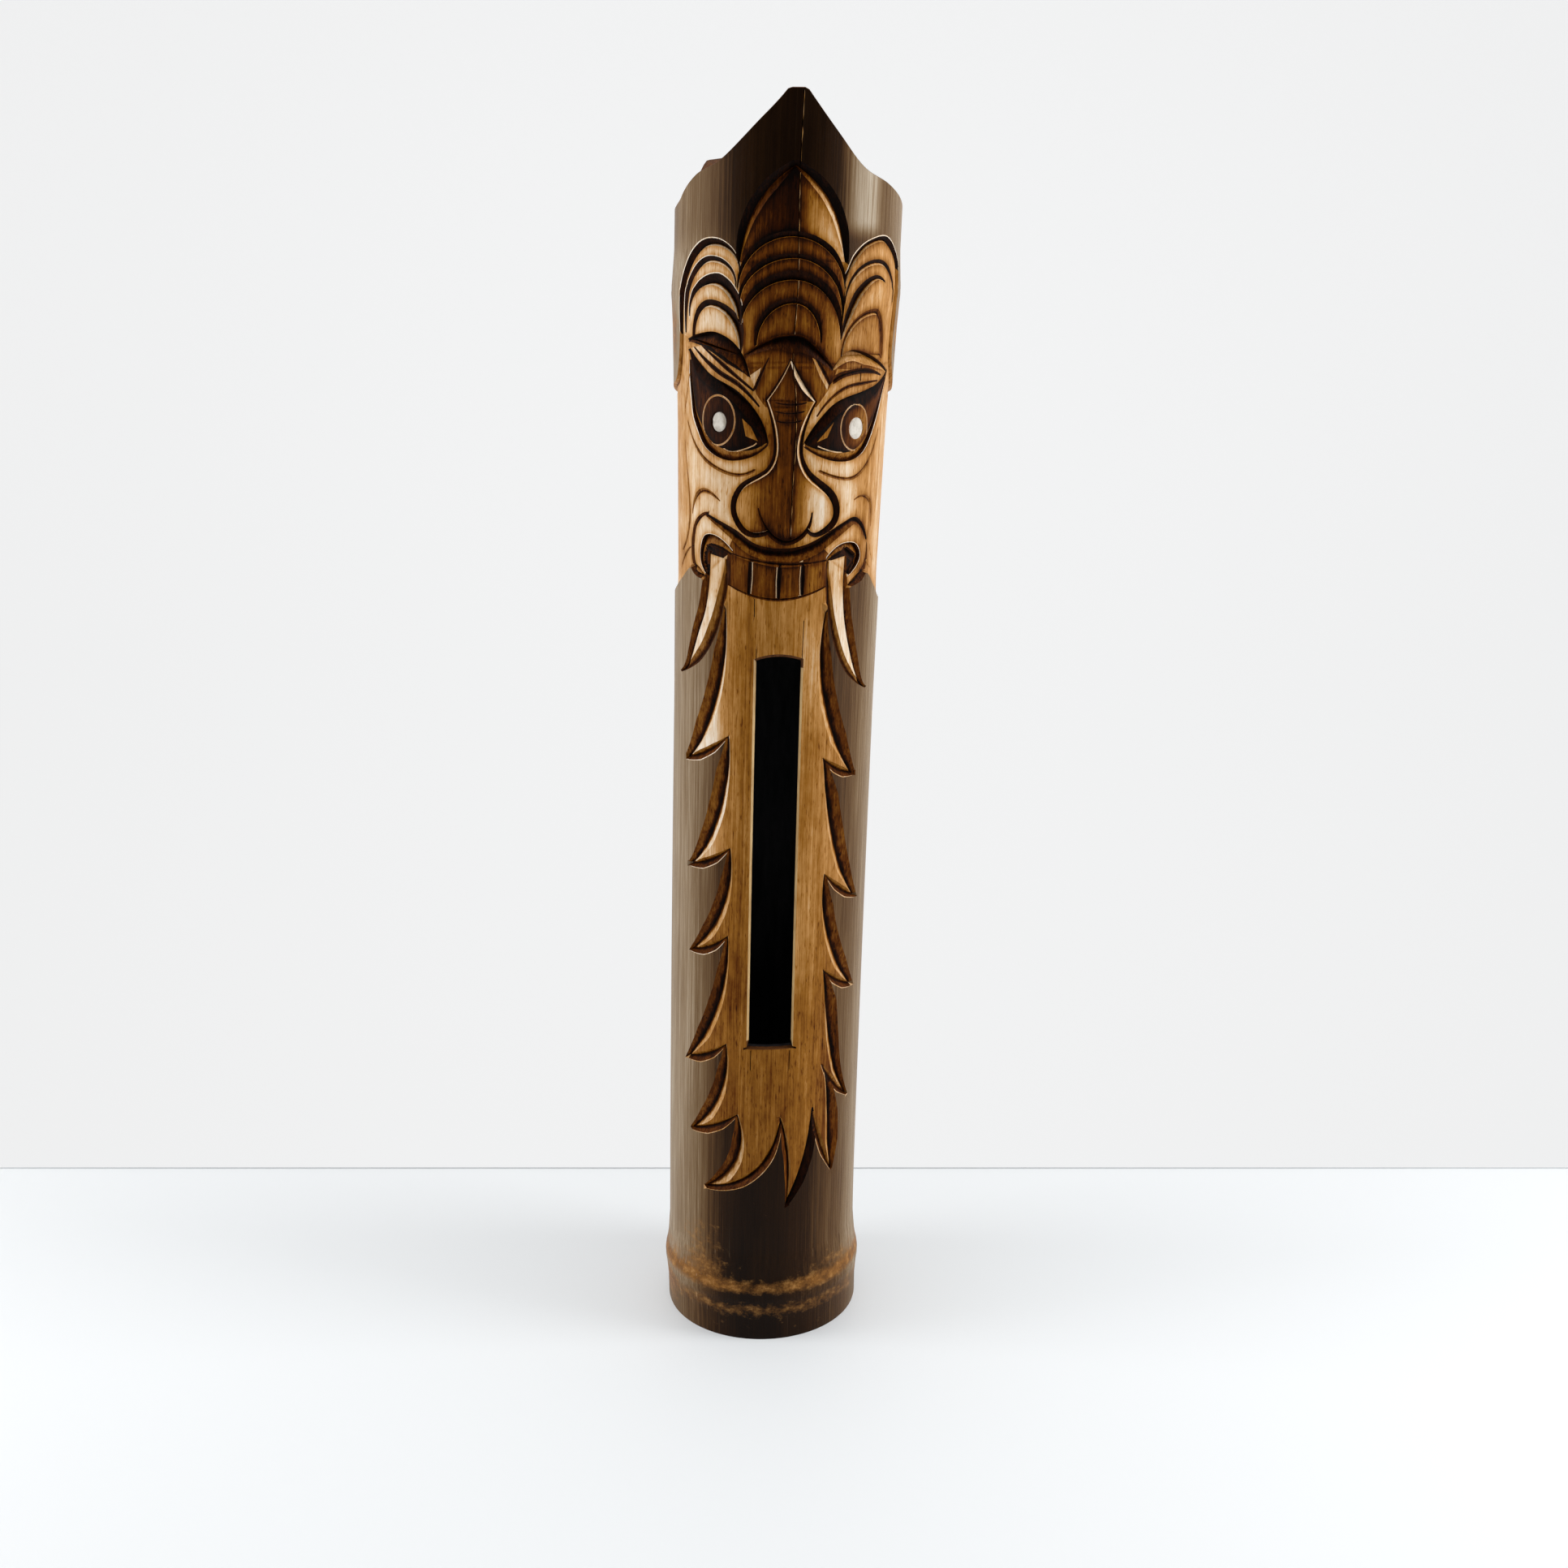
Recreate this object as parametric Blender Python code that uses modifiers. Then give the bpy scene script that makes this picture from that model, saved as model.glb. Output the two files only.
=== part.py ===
"""A slit drum made from one length of giant bamboo, standing on its foot.

The front of the culm is carved with a tusked mask under a pointed leaf and two fans of arches, and
with a long beard of hooked locks round the sounding slot. The rim is cut to a point at the front.
Metres, +Z up. The carved front faces -Y and +X is on the viewer's right.

The carving is laid out in millimetres on the unrolled culm: u runs round it, zero at the front and
positive towards +X, and z is the height above the foot. A knife cut is a line, its deepest part,
with a slope on each side. Cuts run clockwise round what they outline, so that their outer side is
on the left of the way they run.
"""

import math

import bmesh
import bpy
import numpy as np
from mathutils import Vector
from mathutils.geometry import delaunay_2d_cdt

NAME = "carved_bamboo_culm"
MM = 0.001

# The culm, in millimetres.
UNROLLED_RADIUS = 50.0  # one radian round the culm is this much of u
HALF_TURN = math.pi * UNROLLED_RADIUS
BORE_RADIUS = 41.0
FOOT_NODE = 25.0  # height of the lower node's ring
CROWN_NODE = 521.0  # height of the upper node's ring
DIAPHRAGM = 9.0  # thickness of the wood that closes the culm at a node
DRIFT = 15.8  # how far the culm bows towards +X between the foot and the rim
UPRIGHT_BELOW = 45.0
RIM_POINT = 600.0
PROFILE = [  # height, radius of the skin
    (0.0, 50.4),
    (12.0, 50.5),
    (21.0, 51.3),
    (FOOT_NODE, 52.0),
    (29.0, 51.4),
    (35.0, 50.2),
    (48.0, 49.2),
    (75.0, 49.1),
    (330.0, 49.3),
    (390.0, 49.8),
    (460.0, 51.2),
    (505.0, 52.6),
    (516.0, 53.3),
    (CROWN_NODE, 53.7),
    (526.0, 53.3),
    (538.0, 52.5),
    (620.0, 52.6),
]

# The sounding slot.
SLOT_CENTRE = 2.7
SLOT_WIDTH = 20.8
SLOT_BOTTOM = 160.0
SLOT_TOP = 353.0
SLOT_RISE = 2.4  # how far its top edge is arched
SLOT_LEAN = 0.004  # it leans this much less than the culm

# The depth of the carving.
SHAVED = 1.2  # the skin is shaved off the mask and the beard
CHEEK_SHAVED = 2.1
SLOPE = 0.55  # depth of a cut as a share of its width
DEEPEST = 3.4

# How finely the carving is faceted.
LONGEST_CHORD = 13.0
CHORD_ERROR = 0.28
NARROWEST_EDGE = 1.0  # a slope that is narrower than this has no edge line of its own
COLUMNS = 32  # points round the culm, a multiple of four so that its width is true
ROW = 11.0
CLEARANCE = 3.0  # between a filling point and a cut


# Curves on the unrolled culm.


def smooth(*points):
    """A smooth curve through the points."""
    p = np.array(points, float)
    if len(p) == 2:
        return p[0] + (p[1] - p[0]) * np.linspace(0, 1, 9)[:, None]
    gap = np.sqrt(np.linalg.norm(np.diff(p, axis=0), axis=1))
    knot = np.concatenate([[0.0], np.cumsum(gap)])
    slope = np.zeros_like(p)
    slope[1:-1] = (p[2:] - p[:-2]) / (knot[2:] - knot[:-2])[:, None]
    slope[0] = 2 * (p[1] - p[0]) / gap[0] - slope[1]
    slope[-1] = 2 * (p[-1] - p[-2]) / gap[-1] - slope[-2]
    s = np.linspace(0, 1, 9)[:8, None]
    spans = []
    for i, width in enumerate(gap):
        start = (1 + 2 * s) * (1 - s) ** 2 * p[i] + s * (1 - s) ** 2 * width * slope[i]
        end = s * s * (3 - 2 * s) * p[i + 1] + s * s * (s - 1) * width * slope[i + 1]
        spans.append(start + end)
    return np.concatenate([*spans, p[-1:]])


def bow(start, end, sag, peak=0.5):
    """A shallow curve from start to end that stands off its chord on the left by the sag."""
    a, b = np.array(start, float), np.array(end, float)
    s = np.linspace(0, 1, 33)[:, None]
    along = b - a
    left = np.array([-along[1], along[0]]) / np.linalg.norm(along)
    power = math.log(0.5) / math.log(peak)
    return a + along * s + left * sag * 4 * s**power * (1 - s**power)


def arch(left_foot, top, right_foot, square=1.0):
    """Two quarter ellipses from the left foot over the top to the right foot."""
    t = np.linspace(0, math.pi / 2, 25)[:, None]
    top = np.array(top, float)
    halves = []
    for foot in (left_foot, right_foot):
        away = (np.array(foot, float) - top) * np.array([1.0, 0.0])
        down = (np.array(foot, float) - top) * np.array([0.0, 1.0])
        halves.append(top + away * np.cos(t) ** square + down * (1 - np.sin(t) ** square))
    return np.concatenate([halves[0], halves[1][-2::-1]])


def ring(centre, across, up):
    """A closed ellipse, clockwise from its left."""
    t = np.linspace(0, 2 * math.pi, 49)
    return np.stack([centre[0] - across * np.cos(t), centre[1] + up * np.sin(t)], axis=1)


def thinned(line):
    """The fewest points of the line that keep every chord within the error."""
    kept = [0]
    while kept[-1] < len(line) - 1:
        a = kept[-1]
        b = a + 1
        while b + 1 < len(line):
            chord = line[b + 1] - line[a]
            off = line[a + 1 : b + 1] - line[a]
            length = np.linalg.norm(chord) + 1e-9
            away = np.abs(off[:, 0] * chord[1] - off[:, 1] * chord[0]) / length
            if length > LONGEST_CHORD or away.max() > CHORD_ERROR:
                break
            b += 1
        kept.append(b)
    return np.array(kept)


def bump(at, centre, reach):
    """One at the centre, falling smoothly to zero at the reach."""
    x = np.clip(np.abs(at - centre) / reach, 0, 1)
    return (1 - x * x) ** 2


def rise(at, start, end):
    """Zero before the start and one after the end."""
    x = np.clip((at - start) / (end - start), 0, 1)
    return x * x * (3 - 2 * x)


# The carving. Widths are given at even steps along each cut.


class Cut:
    """One knife cut: its deepest line and the widths of its two slopes."""

    def __init__(self, line, outer, inner=0.6, ground=None):
        kept = thinned(line)
        self.line = line[kept]
        run = np.concatenate([[0.0], np.cumsum(np.linalg.norm(np.diff(line, axis=0), axis=1))])
        at = run[kept] / run[-1]
        self.outer = self.spread(outer, at)
        self.inner = self.spread(inner, at)
        shaved = -shaved_level(self.line) if ground is None else ground
        self.depth = np.minimum(shaved + SLOPE * np.maximum(self.outer, self.inner), DEEPEST)

    @staticmethod
    def spread(widths, at):
        widths = np.atleast_1d(widths).astype(float)
        return np.interp(at, np.linspace(0, 1, len(widths)), widths)

    def beside(self, widths):
        """The line that runs beside the cut, on its left by the widths."""
        run = np.gradient(self.line, axis=0)
        run /= np.linalg.norm(run, axis=1)[:, None]
        return self.line + np.stack([-run[:, 1], run[:, 0]], axis=1) * widths[:, None]

    def edges(self):
        lines = [self.line]
        if self.outer.max() > NARROWEST_EDGE:
            lines.append(self.beside(self.outer))
        if self.inner.max() > NARROWEST_EDGE:
            lines.append(self.beside(-self.inner))
        return lines

    def lower(self, points, ground, height):
        """Lowers the height of the points that lie in the cut."""
        reach = max(self.outer.max(), self.inner.max())
        low, high = self.line.min(axis=0) - reach, self.line.max(axis=0) + reach
        near = np.flatnonzero(((points > low) & (points < high)).all(axis=1))
        if not len(near):
            return
        best = np.full(len(near), 1e9)
        share = np.zeros(len(near))
        deep = np.zeros(len(near))
        for i in range(len(self.line) - 1):
            a, b = self.line[i], self.line[i + 1]
            along = b - a
            off = points[near] - a
            s = np.clip(off @ along / (along @ along), 0, 1)
            away = np.linalg.norm(off - s[:, None] * along, axis=1)
            left = along[0] * off[:, 1] - along[1] * off[:, 0] > 0
            outer = self.outer[i] + s * (self.outer[i + 1] - self.outer[i])
            inner = self.inner[i] + s * (self.inner[i + 1] - self.inner[i])
            closer = away < best
            best[closer] = away[closer]
            width = np.where(left, outer, inner)
            share[closer] = np.clip(1 - away / width, 0, 1)[closer]
            deep[closer] = (self.depth[i] + s * (self.depth[i + 1] - self.depth[i]))[closer]
        cut = ground[near] + share * (-deep - ground[near])
        height[near] = np.where(share > 0, np.minimum(height[near], cut), height[near])


def shaved_level(points):
    """Height of the shaved wood against the skin, so it is below zero."""
    u, z = points[:, 0], points[:, 1]
    face = rise(z, 378, 392) * (1 - rise(z, 468, 486))
    level = -SHAVED - (CHEEK_SHAVED - SHAVED) * rise(np.abs(u - 2), 40, 58) * face
    level = level + 0.6 * bump(u, 3, 10) * rise(z, 438, 452) * (1 - rise(z, 474, 488))
    level = level + 1.0 * bump(u, 3, 24) * bump(z, 424, 24)
    level = level - 0.6 * bump(np.abs(u - 3), 26, 16) * bump(z, 440, 16)
    level = level - 0.7 * bump(u, -31.3, 20) * bump(z, 462, 24)
    level = level - 0.7 * bump(u, 37.2, 20) * bump(z, 459, 24)
    return level - 0.5 * bump(u, 1, 26) * bump(z, 391, 12)


def crown_cuts():
    """The pointed leaf in the middle of the crown and the arches under it."""
    widths = (0.6, 2.6, 3.0, 3.0, 2.2)
    leaf = [
        Cut(bow((-21.0, 529.5), (2.4, 569.2), 6.0), widths, (0.6, 3.0, 4.5, 4.5, 1.5)),
        Cut(bow((2.4, 569.2), (26.3, 530.0), 6.2), widths[::-1], (1.5, 4.5, 6.0, 4.0, 0.6)),
    ]
    arches = [
        Cut(arch((-20.7, 519.0), (2.0, 540.2), (26.0, 518.0)), (0.5, 1.8, 1.8, 2.0, 0.5)),
        Cut(arch((-20.2, 511.5), (2.9, 531.2), (25.8, 507.0)), (0.5, 1.8, 1.5, 1.6, 0.4)),
        Cut(arch((-19.8, 500.5), (2.9, 522.2), (25.6, 497.0)), (0.5, 3.0, 4.0, 2.8, 0.5)),
        Cut(arch((-12.2, 494.6), (3.6, 512.4), (16.0, 496.0)), (1.0, 2.0, 1.9, 1.8, 0.6)),
    ]
    brow = smooth((-16.2, 491.0), (-6.3, 496.4), (2.0, 498.2), (10.0, 496.6), (22.7, 484.0))
    return leaf, [*arches, Cut(brow, (0.8, 1.0, 1.0, 1.0, 0.6), (1.2, 4.0, 7.6, 4.0, 0.6))]


def fan_cuts():
    """The nested arches of the left fan and of the right fan, the border of each one first."""
    left = [
        Cut(arch((-56.7, 500.5), (-35.5, 538.2), (-20.6, 526.0)), (1.4, 3.4, 2.2, 2.0, 0.6)),
        Cut(arch((-53.0, 501.0), (-35.5, 531.2), (-22.0, 519.6)), (1.0, 2.8, 2.4, 1.6, 0.6)),
        Cut(arch((-49.5, 508.0), (-34.5, 521.6), (-20.0, 500.0)), (0.6, 2.2, 4.4, 3.4, 0.7)),
        Cut(arch((-45.5, 500.0), (-35.8, 512.3), (-19.7, 491.6)), (2.0, 2.2, 2.0, 2.4, 0.8)),
    ]
    right = [
        Cut(
            smooth((26.2, 519.5), (29.0, 528.2), (37.1, 537.0), (48.9, 540.7), (58.5, 536.6), (64.5, 530.0)),
            (0.6, 2.0, 1.6, 1.6, 1.6),
        ),
        Cut(arch((26.8, 513.0), (46.8, 530.8), (60.8, 514.5)), (0.5, 1.4, 1.4, 1.4, 0.5)),
        Cut(
            smooth((25.9, 497.0), (30.0, 507.5), (36.0, 518.0), (44.0, 523.6), (51.1, 522.6)),
            (0.5, 2.6, 4.0, 3.4, 0.6),
        ),
        Cut(arch((26.8, 490.5), (45.7, 509.3), (52.0, 491.5)), (0.8, 1.4, 1.6, 1.9, 1.6)),
    ]
    return left, right


def brow_cuts():
    """The brows, the stripes under them and the small wedges beside the forehead."""
    left_leaf = smooth((-51.1, 497.4), (-41.0, 499.6), (-31.5, 499.6), (-21.4, 493.6), (-15.5, 481.5))
    right_leaf = smooth((22.8, 484.5), (28.8, 490.8), (34.5, 492.2), (47.0, 489.2), (59.8, 484.2))
    return [
        Cut(left_leaf, 0.7, (0.8, 4.5, 8.5, 9.5, 0.8)),
        Cut(right_leaf, 0.7, (0.8, 7.0, 6.5, 4.0, 0.8)),
        Cut(smooth((-40.0, 494.5), (-29.5, 487.3), (-13.0, 475.1)), (0.6, 1.2, 0.8), 0.8),
        Cut(smooth((-46.3, 494.6), (-30.5, 483.4), (-20.0, 477.6), (-10.2, 468.2)), 1.0, 0.9),
        Cut(smooth((23.5, 479.2), (30.0, 482.4), (41.5, 484.0), (54.2, 482.2)), (2.2, 1.3, 1.0, 0.5), 1.1),
        Cut(smooth((15.9, 463.9), (22.2, 471.5), (30.4, 476.6), (41.5, 478.6), (51.7, 479.7)), 0.8, 0.8),
        Cut(smooth((-12.5, 475.6), (-9.2, 483.2), (-6.4, 489.3)), 0.9, 0.8),
        Cut(smooth((14.1, 488.3), (18.2, 482.2), (20.7, 477.6)), 0.9, 0.8),
    ]


def eye_cuts():
    """The lids and their folds, the irises and the pupils."""
    upper_left = smooth(
        (-49.5, 493.6), (-40.2, 485.4), (-33.6, 480.9), (-20.4, 474.2), (-10.7, 463.9), (-6.2, 452.5)
    )
    upper_right = smooth(
        (10.8, 452.3), (17.7, 462.4), (26.3, 470.0), (42.5, 475.0), (52.0, 478.2), (61.0, 484.0)
    )
    lower_left = smooth(
        (-6.4, 451.6), (-14.8, 446.4), (-26.5, 445.4), (-37.6, 450.4), (-44.0, 458.5), (-48.3, 467.5)
    )
    lower_right = smooth((52.7, 461.4), (45.6, 451.4), (36.5, 445.3), (23.8, 445.2), (11.1, 450.7))
    fold_left = smooth((-12.0, 440.6), (-21.4, 438.5), (-33.6, 442.3), (-44.7, 449.9), (-53.9, 461.4))
    fold_right = smooth((57.3, 457.8), (50.7, 446.9), (41.5, 438.7), (33.0, 436.4), (18.7, 440.1))
    return [
        Cut(upper_left, 0.7, (1.2, 4.6, 4.4, 4.6, 5.0, 1.0)),
        Cut(upper_right, 0.7, (1.0, 4.4, 4.8, 4.8, 3.6, 0.8)),
        Cut(lower_left, 0.7, (0.8, 3.6, 4.0, 3.6, 2.6, 0.8)),
        Cut(lower_right, 0.7, (0.8, 3.0, 3.6, 3.4, 1.0)),
        Cut(fold_left, (1.4, 1.2, 0.8), 0.8),
        Cut(fold_right, (0.8, 1.2, 1.4), 0.8),
        Cut(ring((-31.3, 462.2), 9.2, 10.9), 1.1, 1.1),
        Cut(ring((37.2, 459.0), 8.5, 10.1), 1.1, 1.1),
    ]


def nose_cuts():
    """The facet between the brows, the wrinkles, and the nose with its wings."""
    left = smooth(
        (-5.0, 413.5), (-14.5, 413.4), (-20.6, 422.5), (-17.6, 432.2), (-5.0, 440.7), (-2.2, 452.0),
        (-7.0, 471.0),
    )
    right = smooth(
        (15.0, 470.3), (8.8, 452.0), (12.0, 439.2), (25.0, 427.4), (26.4, 418.6), (18.6, 412.4),
        (13.9, 414.1),
    )
    tip = smooth((15.4, 421.6), (12.0, 412.6), (3.8, 408.6), (-4.0, 413.0), (-9.5, 423.6))
    wrinkles = [((-3.0, z), (11.0 - 0.25 * (470.0 - z), z)) for z in (470.0, 466.2, 462.2)]
    return [
        Cut(left, (2.6, 2.8, 1.6, 1.2, 1.0), 0.8),
        Cut(right, (1.0, 1.2, 2.0, 3.2, 2.4), 0.8),
        Cut(tip, (0.7, 1.6, 2.0, 1.6, 0.7), 0.7),
        Cut(bow((-7.0, 471.0), (3.1, 488.6), -0.8), 0.9, 0.8),
        Cut(bow((3.1, 488.6), (15.0, 470.3), -0.6), 0.9, 0.8),
        *[Cut(bow(start, end, -1.0), 0.8, 0.8) for start, end in wrinkles],
    ]


def mouth_cuts():
    """The groove over the lips, the curls at the corners, and the open corners of the mouth."""
    groove = smooth(
        (-38.0, 420.0), (-23.5, 412.8), (-11.0, 405.2), (3.0, 403.2), (16.0, 405.6), (32.0, 414.6),
        (41.0, 417.2), (50.8, 408.0),
    )
    curl_left = smooth((-38.5, 392.0), (-45.4, 396.4), (-47.6, 406.0), (-45.6, 414.4), (-40.2, 419.0))
    curl_right = smooth((51.4, 406.0), (50.6, 397.6), (45.0, 391.6), (37.3, 387.2))
    open_left = smooth((-37.2, 393.0), (-41.2, 400.5), (-38.6, 409.6), (-31.0, 410.0), (-22.2, 403.7))
    open_right = smooth((24.3, 400.5), (32.0, 406.2), (41.0, 406.0), (44.9, 400.0), (37.5, 392.4))
    brow_left = smooth((-48.9, 419.6), (-45.0, 427.6), (-38.5, 430.5), (-29.1, 426.3))
    brow_right = smooth((38.8, 426.5), (45.5, 427.8), (53.0, 424.0), (55.5, 413.8))
    return [
        Cut(groove, (1.0, 2.4, 2.2, 2.4, 1.4, 0.8), (0.8, 2.0, 2.2, 1.8, 1.0)),
        Cut(curl_left, (2.0, 1.6, 1.4, 1.4), 0.8),
        Cut(curl_right, (1.4, 2.2, 2.4, 0.8), 0.8),
        Cut(open_left, 0.7, (1.6, 3.2, 4.0, 3.0, 1.0)),
        Cut(open_right, 0.7, (1.0, 2.6, 3.6, 3.4, 1.6)),
        Cut(brow_left, (0.6, 1.6, 1.4, 0.6), 0.8),
        Cut(brow_right, (0.6, 1.4, 1.6, 0.8), 0.8),
    ]


def teeth_cuts():
    """The gaps between the upper teeth, and the line under them."""
    cuts = [Cut(bow((u, 399.0), (u - 0.3, 382.6), 0.0), 0.7, 0.7) for u in (-13.0, 0.9, 12.2)]
    cuts.append(Cut(bow((24.0, 387.6), (-23.0, 388.2), 5.6), 1.6, 0.8))
    cuts.append(Cut(bow((-22.0, 402.6), (23.8, 399.4), -2.6), 0.8, 1.8))
    return cuts


def tusk_cuts():
    """The edges of the two tusks, each from the lips down to its tip."""
    left_outer = smooth((-56.6, 344.6), (-49.6, 350.0), (-42.6, 364.8), (-37.2, 378.1), (-34.6, 402.0))
    left_inner = smooth((-25.2, 400.0), (-25.7, 389.0), (-30.6, 370.4), (-40.0, 355.2), (-56.6, 344.6))
    right_inner = smooth((54.8, 337.0), (38.2, 349.4), (28.9, 369.8), (25.2, 389.8), (24.8, 399.0))
    right_outer = smooth((34.6, 401.0), (35.8, 375.0), (42.0, 354.0), (48.6, 341.6), (54.8, 337.0))
    return (
        (
            Cut(left_outer, (0.6, 2.6, 3.8, 3.4, 1.6), ground=SHAVED),
            Cut(left_inner, (1.2, 2.2, 3.2, 3.2, 0.6), ground=SHAVED),
        ),
        (
            Cut(right_inner, (0.6, 2.6, 2.6, 1.8, 0.8), ground=SHAVED),
            Cut(right_outer, (0.8, 3.2, 3.8, 3.2, 0.6), ground=SHAVED),
        ),
    )


# The hooked locks of the beard: where each one leaves the beard, its tip, how far its outer edge
# sags towards the beard, and where along it the sag is greatest.
LEFT_LOCKS = [
    ((-25.2, 377.0), (-49.2, 303.6), 7.6, 0.55),
    ((-22.2, 317.0), (-45.0, 250.8), 7.2, 0.55),
    ((-20.2, 262.0), (-42.6, 207.0), 7.4, 0.5),
    ((-20.5, 217.5), (-44.8, 149.4), 6.6, 0.5),
    ((-20.3, 161.0), (-40.6, 111.4), 6.6, 0.5),
    ((-13.4, 124.0), (-30.2, 82.0), 8.4, 0.5),
]
RIGHT_LOCKS = [
    ((24.8, 375.4), (46.2, 296.2), 8.4, 0.5),
    ((26.6, 305.8), (53.4, 232.4), 5.2, 0.6),
    ((30.0, 247.6), (53.4, 185.6), 6.6, 0.5),
    ((31.4, 198.0), (52.4, 126.2), 3.8, 0.65),
    ((32.5, 147.6), (40.8, 88.6), -3.4, 0.4),
]
MIDDLE_LOCK = ((9.4, 122.4), (13.4, 76.0), (27.2, 125.4))


def beard_cuts():
    """The locks in clockwise order: up the left side of the beard and down its right side."""
    left_end, middle_tip, right_end = MIDDLE_LOCK
    band = (1.2, 4.6, 5.2, 4.6, 1.8)
    under = (0.6, 2.0, 2.2, 1.0)
    cuts = []
    last = right_end
    for root, tip, sag, peak in reversed(RIGHT_LOCKS):
        cuts.insert(0, Cut(bow(tip, last, 1.4), under[::-1], ground=SHAVED))
        cuts.insert(0, Cut(bow(root, tip, -sag, peak), band, ground=SHAVED))
        last = root
    cuts.append(Cut(bow(right_end, middle_tip, 2.8), (0.8, 3.6, 4.4, 4.0, 1.6), ground=SHAVED))
    cuts.append(Cut(bow(middle_tip, left_end, -3.0), (0.8, 2.8, 3.2, 1.2), ground=SHAVED))
    last = left_end
    for root, tip, sag, peak in reversed(LEFT_LOCKS):
        hang = 11.0 if last is left_end else 1.8
        cuts.append(Cut(bow(last, tip, hang), under, ground=SHAVED))
        cuts.append(Cut(bow(tip, root, -sag, 1 - peak), band[::-1], ground=SHAVED))
        last = root
    return cuts


def border_cuts():
    """Steps between the shaved face and the skin that no other cut makes."""
    left_brow = smooth((-88.0, 474.0), (-72.0, 477.6), (-61.5, 481.5), (-56.7, 500.5))
    right_brow = smooth((64.5, 530.0), (63.2, 508.0), (63.0, 490.0), (72.0, 478.6), (88.0, 474.0))
    left_jaw = smooth((-38.5, 391.0), (-47.1, 396.0), (-57.7, 389.4), (-70.0, 383.2), (-88.0, 379.0))
    right_jaw = smooth((88.0, 378.0), (70.0, 379.6), (59.4, 386.2), (50.0, 393.0), (37.6, 387.2))
    return {
        "left_brow": Cut(left_brow, 1.0, 0.8),
        "right_brow": Cut(right_brow, 1.0, 0.8),
        "left_jaw": Cut(left_jaw, 1.4, 0.8),
        "right_jaw": Cut(right_jaw, 1.4, 0.8),
    }


LEAF, ARCHES = crown_cuts()
LEFT_FAN, RIGHT_FAN = fan_cuts()
TUSKS = tusk_cuts()
BEARD = beard_cuts()
BORDERS = border_cuts()
CUTS = [
    *LEAF,
    *ARCHES,
    *LEFT_FAN,
    *RIGHT_FAN,
    *brow_cuts(),
    *eye_cuts(),
    *nose_cuts(),
    *mouth_cuts(),
    *teeth_cuts(),
    *TUSKS[0],
    *TUSKS[1],
    *BEARD,
    *BORDERS.values(),
]


def shaved_areas():
    """Closed outlines that together cover the wood from which the skin is shaved."""
    face = [
        BORDERS["left_brow"].line,
        BORDERS["right_brow"].line[2:],
        BORDERS["right_jaw"].line,
        BORDERS["left_jaw"].line,
    ]
    return [
        np.concatenate([LEAF[0].line, LEAF[1].line, [(25.0, 490.0), (-20.0, 490.0)]]),
        np.concatenate([LEFT_FAN[0].line, [(-19.0, 480.0), (-50.0, 480.0)]]),
        np.concatenate([RIGHT_FAN[0].line, BORDERS["right_brow"].line, [(25.0, 480.0)]]),
        np.concatenate(face),
        np.concatenate([TUSKS[0][0].line, TUSKS[0][1].line]),
        np.concatenate([TUSKS[1][0].line, TUSKS[1][1].line]),
        np.concatenate([[(-25.0, 400.0), (25.0, 400.0)], *[cut.line for cut in BEARD]]),
    ]


def inside(points, outline):
    """Whether each point lies inside the closed outline."""
    u, z = points[:, 0], points[:, 1]
    within = np.zeros(len(points), bool)
    for (u0, z0), (u1, z1) in zip(outline, np.roll(outline, -1, axis=0)):
        if z0 == z1:
            continue
        crosses = (z0 > z) != (z1 > z)
        within ^= crosses & (u < u0 + (z - z0) * (u1 - u0) / (z1 - z0))
    return within


def heights(points):
    """Height of the carved surface over the skin of the culm."""
    shaved = np.zeros(len(points), bool)
    for outline in shaved_areas():
        shaved |= inside(points, outline)
    fade = 1 - rise(np.abs(points[:, 0]), 78, 90)
    ground = np.where(shaved, shaved_level(points) * fade, 0.0)
    height = ground.copy()
    for cut in CUTS:
        cut.lower(points, ground, height)
    return height


# The culm.


def rim(u):
    """Height of the rim: a point in front, a lower one behind on the left, dips at the sides."""
    back = smooth((-HALF_TURN, 570.0), (-120.0, 580.5), (-112.5, 583.0), (-106.5, 574.0), (-97.0, 561.0))
    left = smooth((-97.0, 561.0), (-78.0, 556.5), (-60.0, 559.0))
    front_left = smooth((-60.0, 559.0), (-46.0, 567.5), (-30.0, 573.0), (-11.0, 589.5), (-1.3, RIM_POINT))
    front_right = smooth((6.3, RIM_POINT), (21.0, 582.0), (34.0, 569.5), (50.0, 564.5), (78.0, 556.5))
    back_right = smooth((78.0, 556.5), (115.0, 560.0), (HALF_TURN, 570.0))
    line = np.concatenate([back, left[1:], front_left[1:], front_right, back_right[1:]])
    return np.interp(u, line[:, 0], line[:, 1])


def wrapped(u, z, height):
    """The point of the straight culm at u and z, in millimetres."""
    stations, radii = zip(*PROFILE)
    radius = np.interp(z, stations, radii) + height
    angle = u / UNROLLED_RADIUS
    return np.stack([radius * np.sin(angle), -radius * np.cos(angle), z], axis=-1)


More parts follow.
